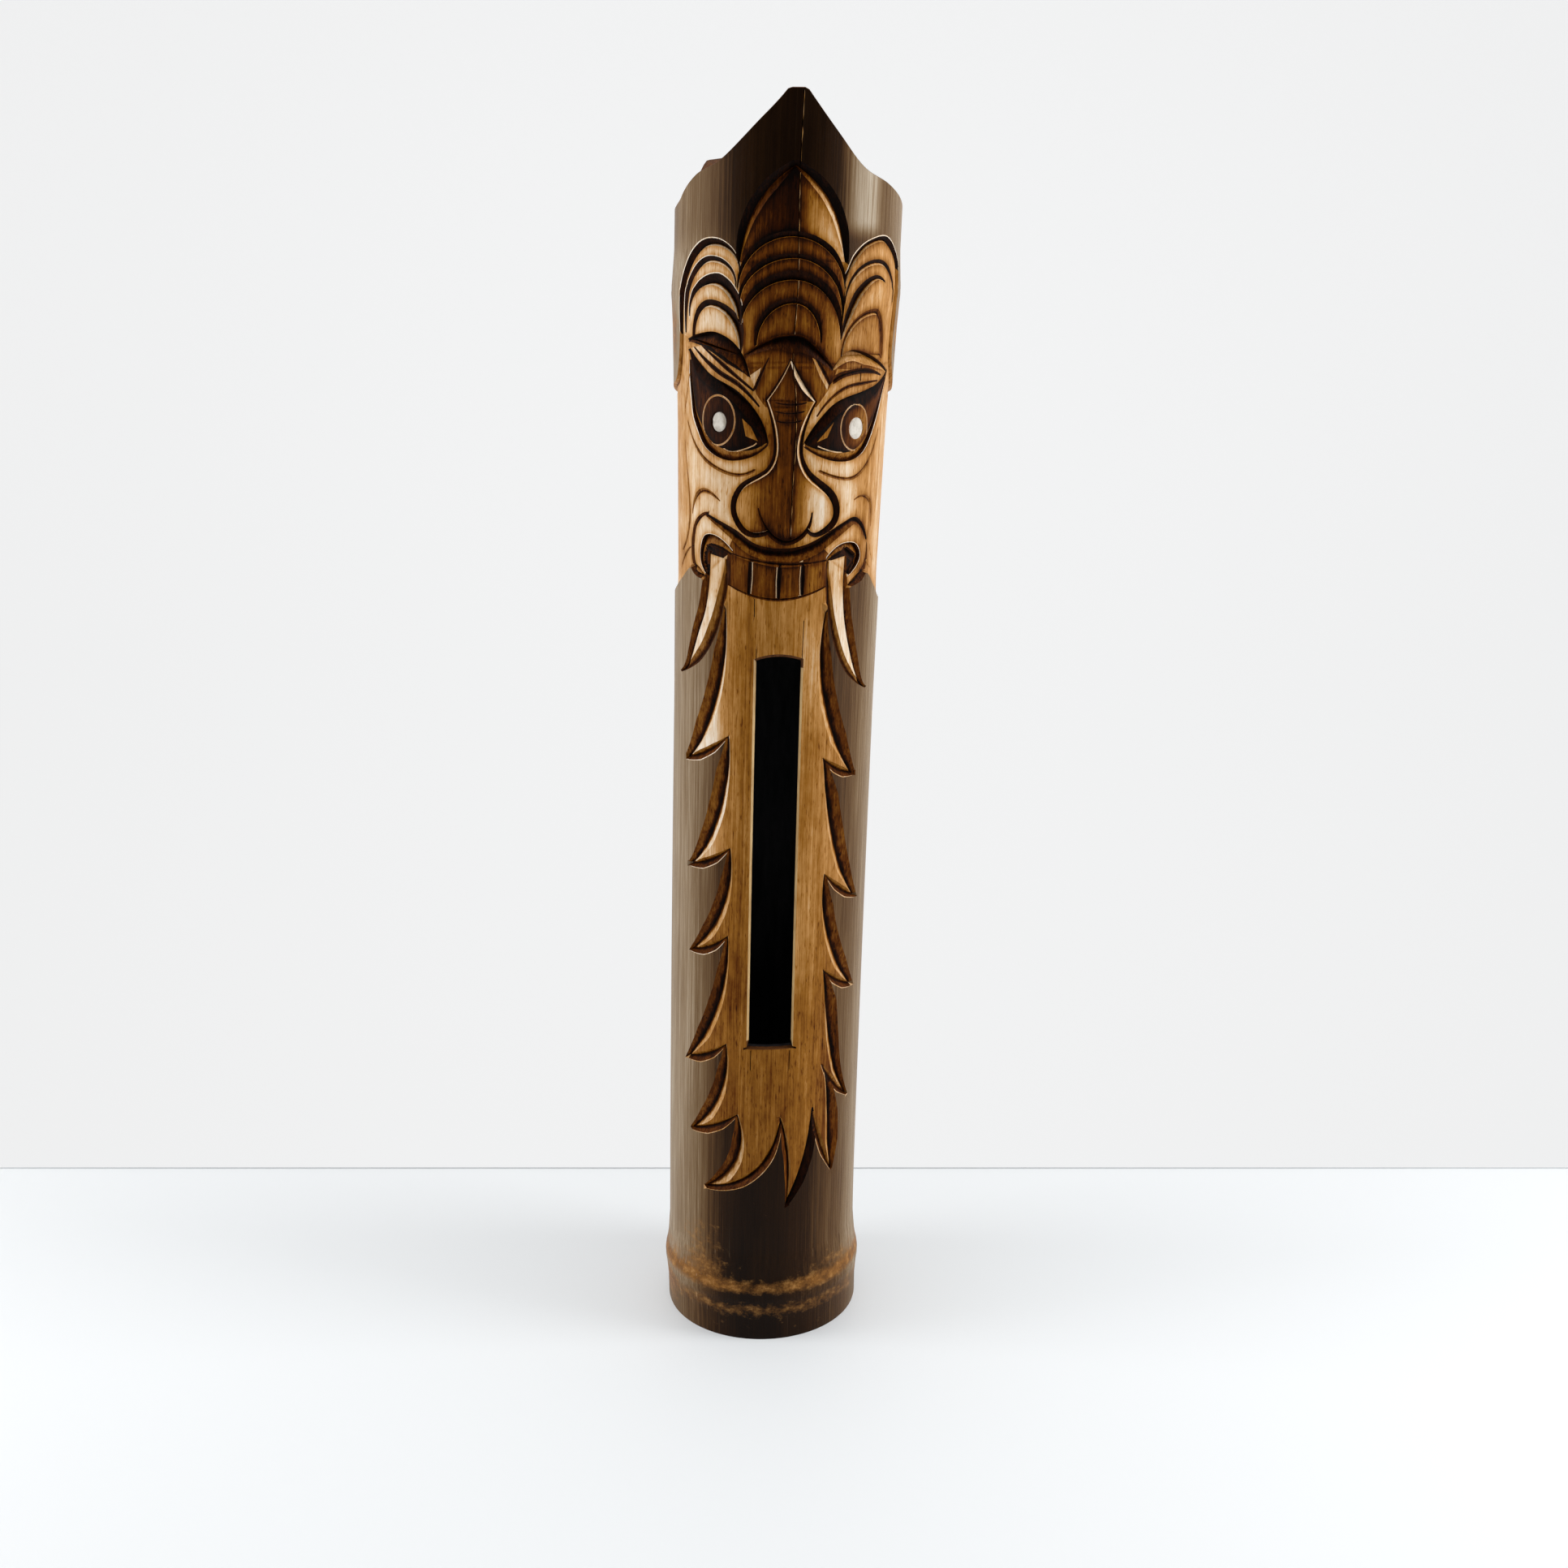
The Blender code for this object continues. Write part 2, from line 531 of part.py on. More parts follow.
def sheet():
    """The unrolled surface as triangles that follow the cuts: points (u, z) and faces."""
    columns = np.linspace(-HALF_TURN, HALF_TURN, COLUMNS + 1)
    seam = [station for station, _ in PROFILE if station < rim(HALF_TURN)]
    seam += [105.0, 160.0, 215.0, 270.0]
    rows = np.unique(seam + [float(rim(HALF_TURN))])
    around = [(u, 0.0) for u in columns[1:-1]]
    top = [(u, float(rim(u))) for u in np.linspace(-HALF_TURN, HALF_TURN, 2 * len(columns) - 1)[1:-1]]
    sides = [[(end, z) for z in rows] for end in (-HALF_TURN, HALF_TURN)]
    border = np.array([*sides[0], *top, *sides[1][::-1], *around[::-1]])
    lines = [np.concatenate([border, border[:1]])]
    for cut in CUTS:
        lines += cut.edges()
    points = [Vector(point) for line in lines for point in line]
    edges = []
    for line in lines:
        first = edges[-1][1] + 1 if edges else 0
        edges += [(first + i, first + i + 1) for i in range(len(line) - 1)]
    taken = np.array([tuple(point) for line in lines for point in beaded(line)])
    for u in columns[1:-1]:
        front = abs(u) < 92
        for z in np.arange(ROW, rim(u), ROW) if front else rows[1:-1]:
            if np.hypot(*(taken - (u, z)).T).min() > CLEARANCE and z < rim(u) - CLEARANCE:
                points.append(Vector((u, z)))
        if front:
            points += [Vector((u, z)) for z in (12.0, 21.0, FOOT_NODE, 29.0, 35.0)]
    flat, _, faces, _, _, _ = delaunay_2d_cdt(points, edges, [], 0, 0.01)
    flat = np.array([tuple(point) for point in flat])
    faces = np.array(faces)
    middle = flat[faces].mean(axis=1)
    edge_of_rim = np.array([(-HALF_TURN, rim(-HALF_TURN)), *top, (HALF_TURN, rim(HALF_TURN))])
    below = middle[:, 1] < np.interp(middle[:, 0], edge_of_rim[:, 0], edge_of_rim[:, 1])
    return flat, faces[below]


def beaded(line):
    """Points along the line that are close enough together to keep other points clear of it."""
    beads = [line[:1]]
    for a, b in zip(line, line[1:]):
        count = max(2, int(np.linalg.norm(b - a) / 2) + 1)
        beads.append(a + (b - a) * np.linspace(0, 1, count)[1:, None])
    return np.concatenate(beads)


def new_object(name, points, faces, collection):
    mesh = bpy.data.meshes.new(name)
    corners = [tuple(point) for point in np.asarray(points) * MM]
    mesh.from_pydata(corners, [], [tuple(map(int, face)) for face in faces])
    mesh.validate()
    made = bpy.data.objects.new(name, mesh)
    collection.objects.link(made)
    return made


def carved_blank(collection):
    """The culm before it is hollowed: the carved skin closed by a rim shelf and a flat foot."""
    flat, faces = sheet()
    u, z = flat.T
    points = list(wrapped(u, z, heights(flat)))
    faces = [tuple(face) for face in faces]
    right = {round(z, 3): i for i, (u, z) in enumerate(flat) if u > HALF_TURN - 1e-6}
    partner = {right[round(z, 3)]: i for i, (u, z) in enumerate(flat) if u < 1e-6 - HALF_TURN}
    faces = [tuple(partner.get(i, i) for i in face) for face in faces]
    ends = {}
    for face in faces:
        for a, b in zip(face, (*face[1:], face[0])):
            if (b, a) in ends:
                del ends[(b, a)]
            else:
                ends[(a, b)] = True
    inner = {}
    for a in {i for pair in ends for i in pair}:
        if flat[a][1] > 100:
            ledge = wrapped(flat[a][0], flat[a][1], 0.0)
            ledge[:2] *= (BORE_RADIUS - 4) / np.hypot(*ledge[:2])
            inner[a] = len(points)
            points.append(ledge)
    floor, cap = len(points), len(points) + 1
    points += [np.array([0.0, 0.0, 0.0]), np.array([0.0, 0.0, 575.0])]
    for a, b in ends:
        if a in inner:
            faces += [(b, a, inner[a]), (b, inner[a], inner[b]), (inner[b], inner[a], cap)]
        else:
            faces.append((b, a, floor))
    return new_object(NAME, points, faces, collection)


def turned(name, profile, steps, collection):
    """A cutter turned round the culm's axis from a profile that runs down its outer side."""
    guide = new_object(name, [(r, 0.0, z) for r, z in profile], [], collection)
    guide.data.edges.add(len(profile) - 1)
    for i, edge in enumerate(guide.data.edges):
        edge.vertices = (i, i + 1)
    turn = guide.modifiers.new("turn", "SCREW")
    turn.steps = turn.render_steps = steps
    turn.use_merge_vertices = True
    turn.merge_threshold = 0.00001
    turn.use_smooth_shade = False
    return guide


def cutters(collection):
    """The bore between the nodes, the hollow of the crown, the hollow of the foot, and the slot."""
    bottom = FOOT_NODE + DIAPHRAGM / 2
    top = CROWN_NODE - DIAPHRAGM / 2
    bore = [(0.0, top), (BORE_RADIUS - 6, top), (BORE_RADIUS, top - 8)]
    bore += [(BORE_RADIUS, z) for z in (430.0, 353.0, 255.0, 160.0, 95.0)]
    bore += [(BORE_RADIUS, bottom + 8), (BORE_RADIUS - 6, bottom), (0.0, bottom)]
    crown_floor = CROWN_NODE + DIAPHRAGM / 2
    crown = [(0.0, 640.0), (43.2, 640.0), (43.2, crown_floor + 10), (37.0, crown_floor), (0.0, crown_floor)]
    foot_roof = FOOT_NODE - DIAPHRAGM / 2
    foot = [(0.0, foot_roof), (34.0, foot_roof), (40.5, foot_roof - 9), (40.5, -10.0), (0.0, -10.0)]
    half = SLOT_WIDTH / 2
    front = []
    for share in np.linspace(-1, 1, 7):
        front.append((SLOT_CENTRE + half * share, SLOT_TOP + SLOT_RISE * (1 - share**2)))
    outline = [(SLOT_CENTRE - half, SLOT_BOTTOM), *front, (SLOT_CENTRE + half, SLOT_BOTTOM)]
    outline = [(x - SLOT_LEAN * (z - SLOT_BOTTOM), z) for x, z in outline]
    points = [(x, y, z) for y in (-80.0, -20.0) for x, z in outline]
    count = len(outline)
    faces = [(i, (i + 1) % count, (i + 1) % count + count, i + count) for i in range(count)]
    faces += [tuple(reversed(range(count))), tuple(range(count, 2 * count))]
    slot = new_object("slot_cutter", points, faces, collection)
    return [
        turned("bore_cutter", bore, 40, collection),
        turned("crown_cutter", crown, 40, collection),
        turned("foot_cutter", foot, 40, collection),
        slot,
    ]


def outward(mesh):
    """Makes the faces of a closed mesh look outward."""
    work = bmesh.new()
    work.from_mesh(mesh)
    bmesh.ops.recalc_face_normals(work, faces=work.faces)
    if work.calc_volume(signed=True) < 0:
        bmesh.ops.reverse_faces(work, faces=work.faces)
    work.to_mesh(mesh)
    work.free()


def bent(mesh):
    """Bows the straight culm towards +X and centres its footprint on the origin."""
    work = bmesh.new()
    work.from_mesh(mesh)
    bmesh.ops.triangulate(work, faces=work.faces)
    for vertex in work.verts:
        above = max(vertex.co.z / MM - UPRIGHT_BELOW, 0.0)
        vertex.co.x += MM * DRIFT * (above / (RIM_POINT - UPRIGHT_BELOW)) ** 1.2
    for axis in (0, 1):
        along = [vertex.co[axis] for vertex in work.verts]
        middle = (min(along) + max(along)) / 2
        for vertex in work.verts:
            vertex.co[axis] -= middle
    work.to_mesh(mesh)
    work.free()


def main():
    for item in list(bpy.data.objects):
        bpy.data.objects.remove(item)
    made = bpy.data.collections.new("bamboo_slit_drum")
    helpers = bpy.data.collections.new("cutters")
    for collection in (made, helpers):
        bpy.context.scene.collection.children.link(collection)
    helpers.hide_render = True
    culm = carved_blank(made)
    outward(culm.data)
    for cutter in cutters(helpers):
        if cutter.name == "slot_cutter":
            outward(cutter.data)
        cutter.hide_render = True
        cutter.display_type = "WIRE"
        cut = culm.modifiers.new(cutter.name, "BOOLEAN")
        cut.operation = "DIFFERENCE"
        cut.solver = "EXACT"
        cut.object = cutter
    view = bpy.context.evaluated_depsgraph_get()
    hollow = bpy.data.meshes.new_from_object(culm.evaluated_get(view))
    culm.modifiers.clear()
    culm.data = hollow
    bent(culm.data)
    culm.data.shade_smooth()
    culm.data.set_sharp_from_angle(angle=math.radians(20))
    wood = bpy.data.materials.new("varnished_bamboo")
    wood.use_nodes = True
    shader = wood.node_tree.nodes["Principled BSDF"]
    shader.inputs["Base Color"].default_value = (0.45, 0.25, 0.08, 1.0)
    shader.inputs["Roughness"].default_value = 0.3
    culm.data.materials.clear()
    culm.data.materials.append(wood)


main()
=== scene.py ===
"""A carved bamboo slit drum on a pale studio floor.

The drum is one length of giant bamboo. The solid from the frame gives its place and its size, and
the surface here is the same culm with the carving cut finer. Like the solid, the carving is laid
out in millimetres on the unrolled culm: u runs round it, zero at the front and positive towards
+X, and z is the height above the foot. Cuts run clockwise round what they outline, so that their
outer side is on the left of the way they run.
"""

import math

import bpy
import numpy as np
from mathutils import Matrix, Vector
from mathutils.geometry import delaunay_2d_cdt


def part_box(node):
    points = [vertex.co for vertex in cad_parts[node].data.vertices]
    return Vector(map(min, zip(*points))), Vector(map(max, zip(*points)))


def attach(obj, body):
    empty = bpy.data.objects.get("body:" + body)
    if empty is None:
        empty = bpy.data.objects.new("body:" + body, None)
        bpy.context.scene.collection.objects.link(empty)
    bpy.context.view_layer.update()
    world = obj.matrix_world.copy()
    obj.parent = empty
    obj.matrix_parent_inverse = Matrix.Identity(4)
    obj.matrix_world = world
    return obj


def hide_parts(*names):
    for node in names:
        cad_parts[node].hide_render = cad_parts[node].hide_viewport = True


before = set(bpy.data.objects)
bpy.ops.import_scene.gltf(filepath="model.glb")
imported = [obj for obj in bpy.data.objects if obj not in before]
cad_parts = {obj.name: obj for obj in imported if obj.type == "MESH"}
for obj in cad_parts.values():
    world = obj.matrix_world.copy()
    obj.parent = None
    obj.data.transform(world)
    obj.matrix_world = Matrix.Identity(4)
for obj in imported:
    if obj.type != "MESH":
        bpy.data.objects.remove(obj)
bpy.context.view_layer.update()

NODE = "carved_bamboo_culm"
MM = 0.001

# The culm, in millimetres.
UNROLLED_RADIUS = 50.0  # one radian round the culm is this much of u
HALF_TURN = math.pi * UNROLLED_RADIUS
BORE_RADIUS = 41.0
CROWN_BORE = 43.2  # above the upper node
FOOT_BORE = 40.5  # below the lower node
FOOT_NODE = 25.0
CROWN_NODE = 521.0
DIAPHRAGM = 9.0  # thickness of the wood that closes the culm at each node
DRIFT = 15.8  # how far the culm bows towards +X between the foot and the rim
UPRIGHT_BELOW = 45.0
RIM_POINT = 600.0
RIM_BEVEL = 0.3
PROFILE = [  # height, radius of the skin
    (0, 50.2), (0.8, 50.4), (12, 50.5), (21, 51.3), (23.8, 51.75), (25, 51.6), (26.2, 51.8), (28.5, 51.5),
    (31, 50.9), (35, 50.2), (48, 49.2), (75, 49.1), (330, 49.3), (390, 49.8), (460, 51.2), (505, 52.6),
    (516, 53.25), (519.5, 53.6), (521, 53.35), (523, 53.45), (526, 53.2), (538, 52.5), (620, 52.6),
]

# The sounding slot.
SLOT_CENTRE = 2.7
SLOT_WIDTH = 20.8
SLOT_BOTTOM = 160.0
SLOT_TOP = 353.0
SLOT_RISE = 2.4  # its top is an arch this high
SLOT_LEAN = 0.004  # sideways for each millimetre up
SLOT_BEVEL = 1.1
SLOT_SKIN = 48.2  # the radius at which the slot's outline is laid out
SAW_OVERRUN = 1.7  # the saw ran past both bottom corners by this much
SAW_KERF = 1.0

# The depth of the carving.
SHAVED = 1.2  # how far the wood lies below the skin
CHEEK_SHAVED = 2.1
SIDE_EDGE = 87.0  # u at which the shaved cheeks end, out of sight
SLOPE = 0.55  # depth of a cut for its width
DEEPEST = 3.4
BLEED_REACH = 4.0  # how far the stain has crept into the wood beside a cut

# How finely the surface is laid out.
LONGEST_CHORD = 2.6
CHORD_ERROR = 0.035
NARROWEST_EDGE = 0.15  # a narrower slope gets no edge line of its own
FILL = 2.6  # distance between the points that fill the skin
FACE_FILL = 1.35  # the same on the face
FACE_HEIGHTS = (380, 545)
FACE_HALF = 62
FRONT_HALF = 91  # beyond this the points are three times as far apart
CLEARANCE = 0.5  # size of the cells that keep those points off the lines

# What a face shows.
SKIN, WOOD, PAINT, HOLLOW, SAWN, BARE = range(6)


# Curves on the unrolled culm.


def smooth(*points):
    """A smooth curve through the points."""
    p = np.array(points, float)
    if len(p) == 2:
        return p[0] + (p[1] - p[0]) * np.linspace(0, 1, 9)[:, None]
    gap = np.sqrt(np.linalg.norm(np.diff(p, axis=0), axis=1))
    knot = np.concatenate([[0.0], np.cumsum(gap)])
    slope = np.zeros_like(p)
    slope[1:-1] = (p[2:] - p[:-2]) / (knot[2:] - knot[:-2])[:, None]
    slope[0] = 2 * (p[1] - p[0]) / gap[0] - slope[1]
    slope[-1] = 2 * (p[-1] - p[-2]) / gap[-1] - slope[-2]
    s = np.linspace(0, 1, 17)[:16, None]
    spans = []
    for i, width in enumerate(gap):
        start = (1 + 2 * s) * (1 - s) ** 2 * p[i] + s * (1 - s) ** 2 * width * slope[i]
        end = s * s * (3 - 2 * s) * p[i + 1] + s * s * (s - 1) * width * slope[i + 1]
        spans.append(start + end)
    return np.concatenate([*spans, p[-1:]])


def bow(start, end, sag, peak=0.5):
    """A shallow curve from start to end that stands off its chord on the left by the sag."""
    a, b = np.array(start, float), np.array(end, float)
    s = np.linspace(0, 1, 49)[:, None]
    along = b - a
    left = np.array([-along[1], along[0]]) / np.linalg.norm(along)
    power = math.log(0.5) / math.log(peak)
    return a + along * s + left * sag * 4 * s**power * (1 - s**power)


def arch(left_foot, top, right_foot):
    """Two quarter ellipses from the left foot over the top to the right foot."""
    t = np.linspace(0, math.pi / 2, 41)
    share = np.stack([np.cos(t), 1 - np.sin(t)], axis=1)
    top = np.array(top, float)
    left, right = (top + (np.array(foot, float) - top) * share for foot in (left_foot, right_foot))
    return np.concatenate([left, right[-2::-1]])


def ring(centre, across, up):
    """A closed ellipse, clockwise from its left."""
    t = np.linspace(0, 2 * math.pi, 73)
    return np.stack([centre[0] - across * np.cos(t), centre[1] + up * np.sin(t)], axis=1)


def thinned(line):
    """The fewest points of the line that keep every chord within the error."""
    kept = [0]
    while kept[-1] < len(line) - 1:
        a = kept[-1]
        b = a + 1
        while b + 1 < len(line):
            chord = line[b + 1] - line[a]
            off = line[a + 1 : b + 1] - line[a]
            length = np.linalg.norm(chord) + 1e-9
            away = np.abs(off[:, 0] * chord[1] - off[:, 1] * chord[0]) / length
            if length > LONGEST_CHORD or away.max() > CHORD_ERROR:
                break
            b += 1
        kept.append(b)
    return np.array(kept)


def bump(at, centre, reach):
    """One at the centre, falling smoothly to zero at the reach."""
    x = np.clip(np.abs(at - centre) / reach, 0, 1)
    return (1 - x * x) ** 2


def rise(at, start, end):
    """Zero before the start and one after the end."""
    x = np.clip((at - start) / (end - start), 0, 1)
    return x * x * (3 - 2 * x)


# The carving. Widths are given at even steps along each cut.


# How brown a slope is at its edge and along the bottom of the cut, first on the outer side and then
# on the inner side. 0 is cream, 0.6 golden brown, 1 dark brown and 1.25 black. Below zero is that
# much paler than the wood beside the cut.
BLACK = ((1.0, 1.25), (1.0, 1.25))
LINE = ((0.9, 1.15), (0.8, 1.15))
BROWN = ((0.66, 0.9), (0.62, 0.9))
FAINT = ((0.5, 0.72), (0.5, 0.72))
GRAVED = ((1.14, 1.25), (-0.04, 0.95))
PALE = ((0.12, 0.08), (0.12, 0.08))
DEEP = ((1.2, 1.25), (1.2, 1.25))
TAN = ((0.3, 0.26), (0.3, 0.26))


class Cut:
    """One knife cut: its deepest line, the widths of its two slopes, and how brown each one is.

    The rim is a strip beside the outer slope from which the knife took the skin, and bare is its
    tone. The ground is how far the wood round the cut is shaved, where it isn't the face's own. The
    depth is measured from there, and without one it follows from the widths.
    """

    def __init__(self, line, outer, inner, stain=BLACK, rim=0, bare=0.06, ground=None, depth=None):
        kept = thinned(line)
        run = np.concatenate([[0], np.cumsum(np.linalg.norm(np.diff(line, axis=0), axis=1))])
        self.line, self.at = line[kept], run[kept] / run[-1]
        self.outer, self.inner, self.rim = self.spread(outer), self.spread(inner), self.spread(rim)
        self.stain, self.bare = np.array(stain), bare
        shaved = -shaved_level(self.line) if ground is None else ground
        self.depth = np.minimum(shaved + SLOPE * np.maximum(self.outer, self.inner), DEEPEST)
        if depth is not None:
            self.depth = shaved + self.spread(depth)

    def spread(self, widths):
        """The width at each point of the line."""
        widths = np.atleast_1d(widths)
        return np.interp(self.at, np.linspace(0, 1, len(widths)), widths)

    def beside(self, widths):
        """The line that runs beside the cut, on its left by the widths."""
        run = np.gradient(self.line, axis=0)
        run /= np.linalg.norm(run, axis=1)[:, None]
        return self.line + np.stack([-run[:, 1], run[:, 0]], axis=1) * widths[:, None]

    def edges(self):
        """The lines that the surface has to follow."""
        sides = ((self.outer, self.outer), (self.inner, -self.inner), (self.rim, self.outer + self.rim))
        return [self.line] + [self.beside(off) for width, off in sides if width.max() > NARROWEST_EDGE]

    def cut(self, points, ground, survey):
        """Cuts the survey's points that lie in this cut down to its slopes."""
        reach = max((self.outer + self.rim).max(), self.inner.max()) + BLEED_REACH
        low, high = self.line.min(axis=0) - reach, self.line.max(axis=0) + reach
        near = np.flatnonzero(((points > low) & (points < high)).all(axis=1))
        away = np.full(len(near), 1e9)
        left = np.zeros(len(near), bool)
        widths = np.zeros((4, len(near)))
        table = np.stack([self.outer, self.inner, self.rim, self.depth])
        for i in range(len(self.line) - 1):
            along = self.line[i + 1] - self.line[i]
            off = points[near] - self.line[i]
            s = np.clip(off @ along / (along @ along), 0, 1)
            gap = np.linalg.norm(off - s[:, None] * along, axis=1)
            closer = gap < away - 1e-9
            away[closer] = gap[closer]
            left[closer] = (along[0] * off[:, 1] - along[1] * off[:, 0] > 0)[closer]
            here = table[:, i, None] + s * (table[:, i + 1] - table[:, i])[:, None]
            widths[:, closer] = here[:, closer]
        outer, inner, rim, depth = widths
        width = np.where(left, outer, inner)
        share = 1 - away / width
        height = ground[near] + share * (-depth - ground[near])
        wins = (share > 1e-6) & (height < survey["height"][near])
        won = near[wins]
        survey["height"][won] = height[wins]
        survey["share"][won] = np.clip(share[wins], 0, 1)
        survey["stain"][won] = self.stain[np.where(left, 0, 1)[wins]]
        survey["bare"][near[left & (away > outer) & (away < outer + rim)]] = self.bare
        dark = 0.5 * np.clip(self.stain.max() - 0.5, 0, 0.6) * np.clip(outer + inner, 0, 2.5) / 2.5
        bleed = dark * np.exp(-np.clip(away - width, 0, None) / 1.5) * rise(points[near, 1], 378, 390)
        survey["bleed"][near] = np.maximum(survey["bleed"][near], bleed)


def shaved_level(points):
    """Height of the shaved wood against the skin, so it is below zero."""
    u, z = points[:, 0], points[:, 1]
    face = rise(z, 378, 392) * (1 - rise(z, 468, 486))
    level = -SHAVED - (CHEEK_SHAVED - SHAVED) * rise(np.abs(u - 2), 40, 58) * face
    level += 0.6 * bump(u, 3, 10) * rise(z, 438, 452) * (1 - rise(z, 474, 488))
    level += bump(u, 3, 24) * bump(z, 424, 24)
    level -= 0.6 * bump(np.abs(u - 3), 26, 16) * bump(z, 440, 16)
    for eye, height in ((-31.3, 462), (37.2, 459)):
        level -= 0.7 * bump(u, eye, 20) * bump(z, height, 24)
    return level - 0.5 * bump(u, 1, 26) * bump(z, 391, 12)


def crown_cuts():
    """The pointed leaf in the middle of the crown and the arches under it."""
    widths = (0.6, 2.4, 3, 3, 2)
    leaf = [
        Cut(bow((-21, 529.5), (2.4, 569.2), 6), widths, (0.6, 2.2, 3, 3, 1), ((1.2, 1.25), (-0.02, 0.9)),
            depth=1.5),
        Cut(bow((2.4, 569.2), (26.3, 530), 6.2), widths[::-1], (1, 2.6, 3, 2.6, 0.6),
            ((1.2, 1.25), (-0.04, 0.8)), depth=1.5),
    ]
    lip = (0.5, 0.6, 0.4, 0.6, 0.5)
    arches = [
        Cut(arch((-20.7, 519), (2, 540.2), (26, 518)), (0.5, 2.2, 2, 2.2, 0.5), lip, GRAVED),
        Cut(arch((-20.2, 511.5), (2.9, 531.2), (25.8, 507)), (0.5, 2.2, 1.8, 2, 0.4), lip, GRAVED),
        Cut(arch((-19.8, 500.5), (2.9, 522.2), (25.6, 497)), (0.5, 2.8, 4, 2.8, 0.5), lip, GRAVED),
        Cut(arch((-12.2, 494.6), (3.6, 512.4), (16, 496)), (1, 2.2, 2.2, 2, 0.6), 0.5, GRAVED),
        Cut(smooth((-16.2, 491), (-6.3, 496.4), (2, 498.2), (10, 496.6), (22.7, 484)),
            (0.8, 1, 1, 1, 0.6), (1.2, 4, 7.6, 4, 0.6)),
    ]
    return leaf, arches


def fan_cuts():
    """The nested arches of the left fan and of the right fan, the border of each one first."""
    lip = (0.3, 0.8, 1, 0.8, 0.3)
    left = [
        Cut(arch((-56.7, 500.5), (-35.5, 538.2), (-20.6, 526)), (0.6, 2, 2.4, 2.2, 0.6), lip, GRAVED,
            rim=(0.3, 0.6, 0.6, 0.4, 0)),
        Cut(arch((-53, 501), (-35.5, 531.2), (-22, 519.6)), (1, 2.8, 2.4, 1.6, 0.6), lip, GRAVED,
            rim=(0.2, 0.4, 0.4, 0.3, 0)),
        Cut(arch((-49.5, 508), (-34.5, 521.6), (-20, 500)), (0.6, 2.2, 4.4, 3.6, 0.7), lip, GRAVED,
            rim=(0.2, 0.4, 0.5, 0.3, 0)),
        Cut(arch((-45.5, 500), (-35.8, 512.3), (-19.7, 491.6)), (2, 2.2, 2.4, 4, 0.8), lip, GRAVED),
    ]
    right = [
        Cut(smooth((26.2, 519.5), (29, 528.2), (37.1, 537), (48.9, 540.7), (58.5, 536.6), (64.5, 530)),
            (0.6, 2.2, 1.5, 1.5, 1.2), lip, GRAVED, rim=(0.1, 0.4, 0.4, 0.4, 0.2)),
        Cut(arch((26.8, 513), (46.8, 530.8), (60.8, 514.5)), (0.5, 1.4, 1.4, 1.4, 0.5), lip, GRAVED),
        Cut(smooth((25.9, 497), (30, 507.5), (36, 518), (44, 523.6), (51.1, 522.6)),
            (0.5, 2.6, 3.6, 2.2, 0.5), lip, GRAVED),
        Cut(arch((26.8, 490.5), (45.7, 509.3), (52, 491.5)), (0.8, 1.4, 1.6, 1.9, 2.2), lip,
            ((0.85, 1.15), (-0.1, 0.85))),
    ]
    return left, right


def brow_cuts():
    """The brows, the stripes under them and the small wedges beside the forehead."""
    return [
        Cut(smooth((-51.1, 497.4), (-41, 499.6), (-31.5, 499.6), (-21.4, 493.6), (-15.5, 481.5)), 0.8,
            (0.6, 4.4, 7.4, 6.4, 0.6), ((1.2, 1.25), (0.96, 1.25))),
        Cut(smooth((22.8, 484.5), (28.8, 490.8), (34.5, 492.2), (47, 489.2), (59.8, 484.2)), 0.7,
            (0.6, 4, 4.6, 2.8, 0.6), ((1.1, 1.2), (0.44, 0.6))),
        Cut(smooth((-40, 494.5), (-29.5, 487.3), (-13, 475.1)), (0.4, 1.2, 0.5), (0.3, 0.9, 0.4)),
        Cut(smooth((-46.3, 494.6), (-30.5, 483.4), (-20, 477.6), (-10.2, 468.2)), (0.4, 1.2, 1.2, 0.4),
            (0.3, 1, 1, 0.4)),
        Cut(smooth((23.5, 479.2), (30, 482.4), (41.5, 484), (54.2, 482.2)), (2.2, 1.3, 1.1, 0.4),
            (1, 1.2, 1.1, 0.4)),
        Cut(smooth((15.9, 463.9), (22.2, 471.5), (30.4, 476.6), (41.5, 478.6), (51.7, 479.7)),
            (0.4, 0.9, 0.9, 0.4), (0.4, 0.8, 0.8, 0.3), LINE),
        Cut(smooth((-12.5, 475.6), (-9.2, 483.2), (-6.4, 489.3)), (0.9, 0.8, 0.3), (0.7, 0.6, 0.3)),
        Cut(smooth((14.6, 488.6), (18.6, 482.6), (21.4, 477.8)), (0.4, 0.9, 0.6), (0.4, 0.7, 0.6)),
        Cut(smooth((38, 486.2), (38.2, 479.6)), 0.3, 0.3),
    ]


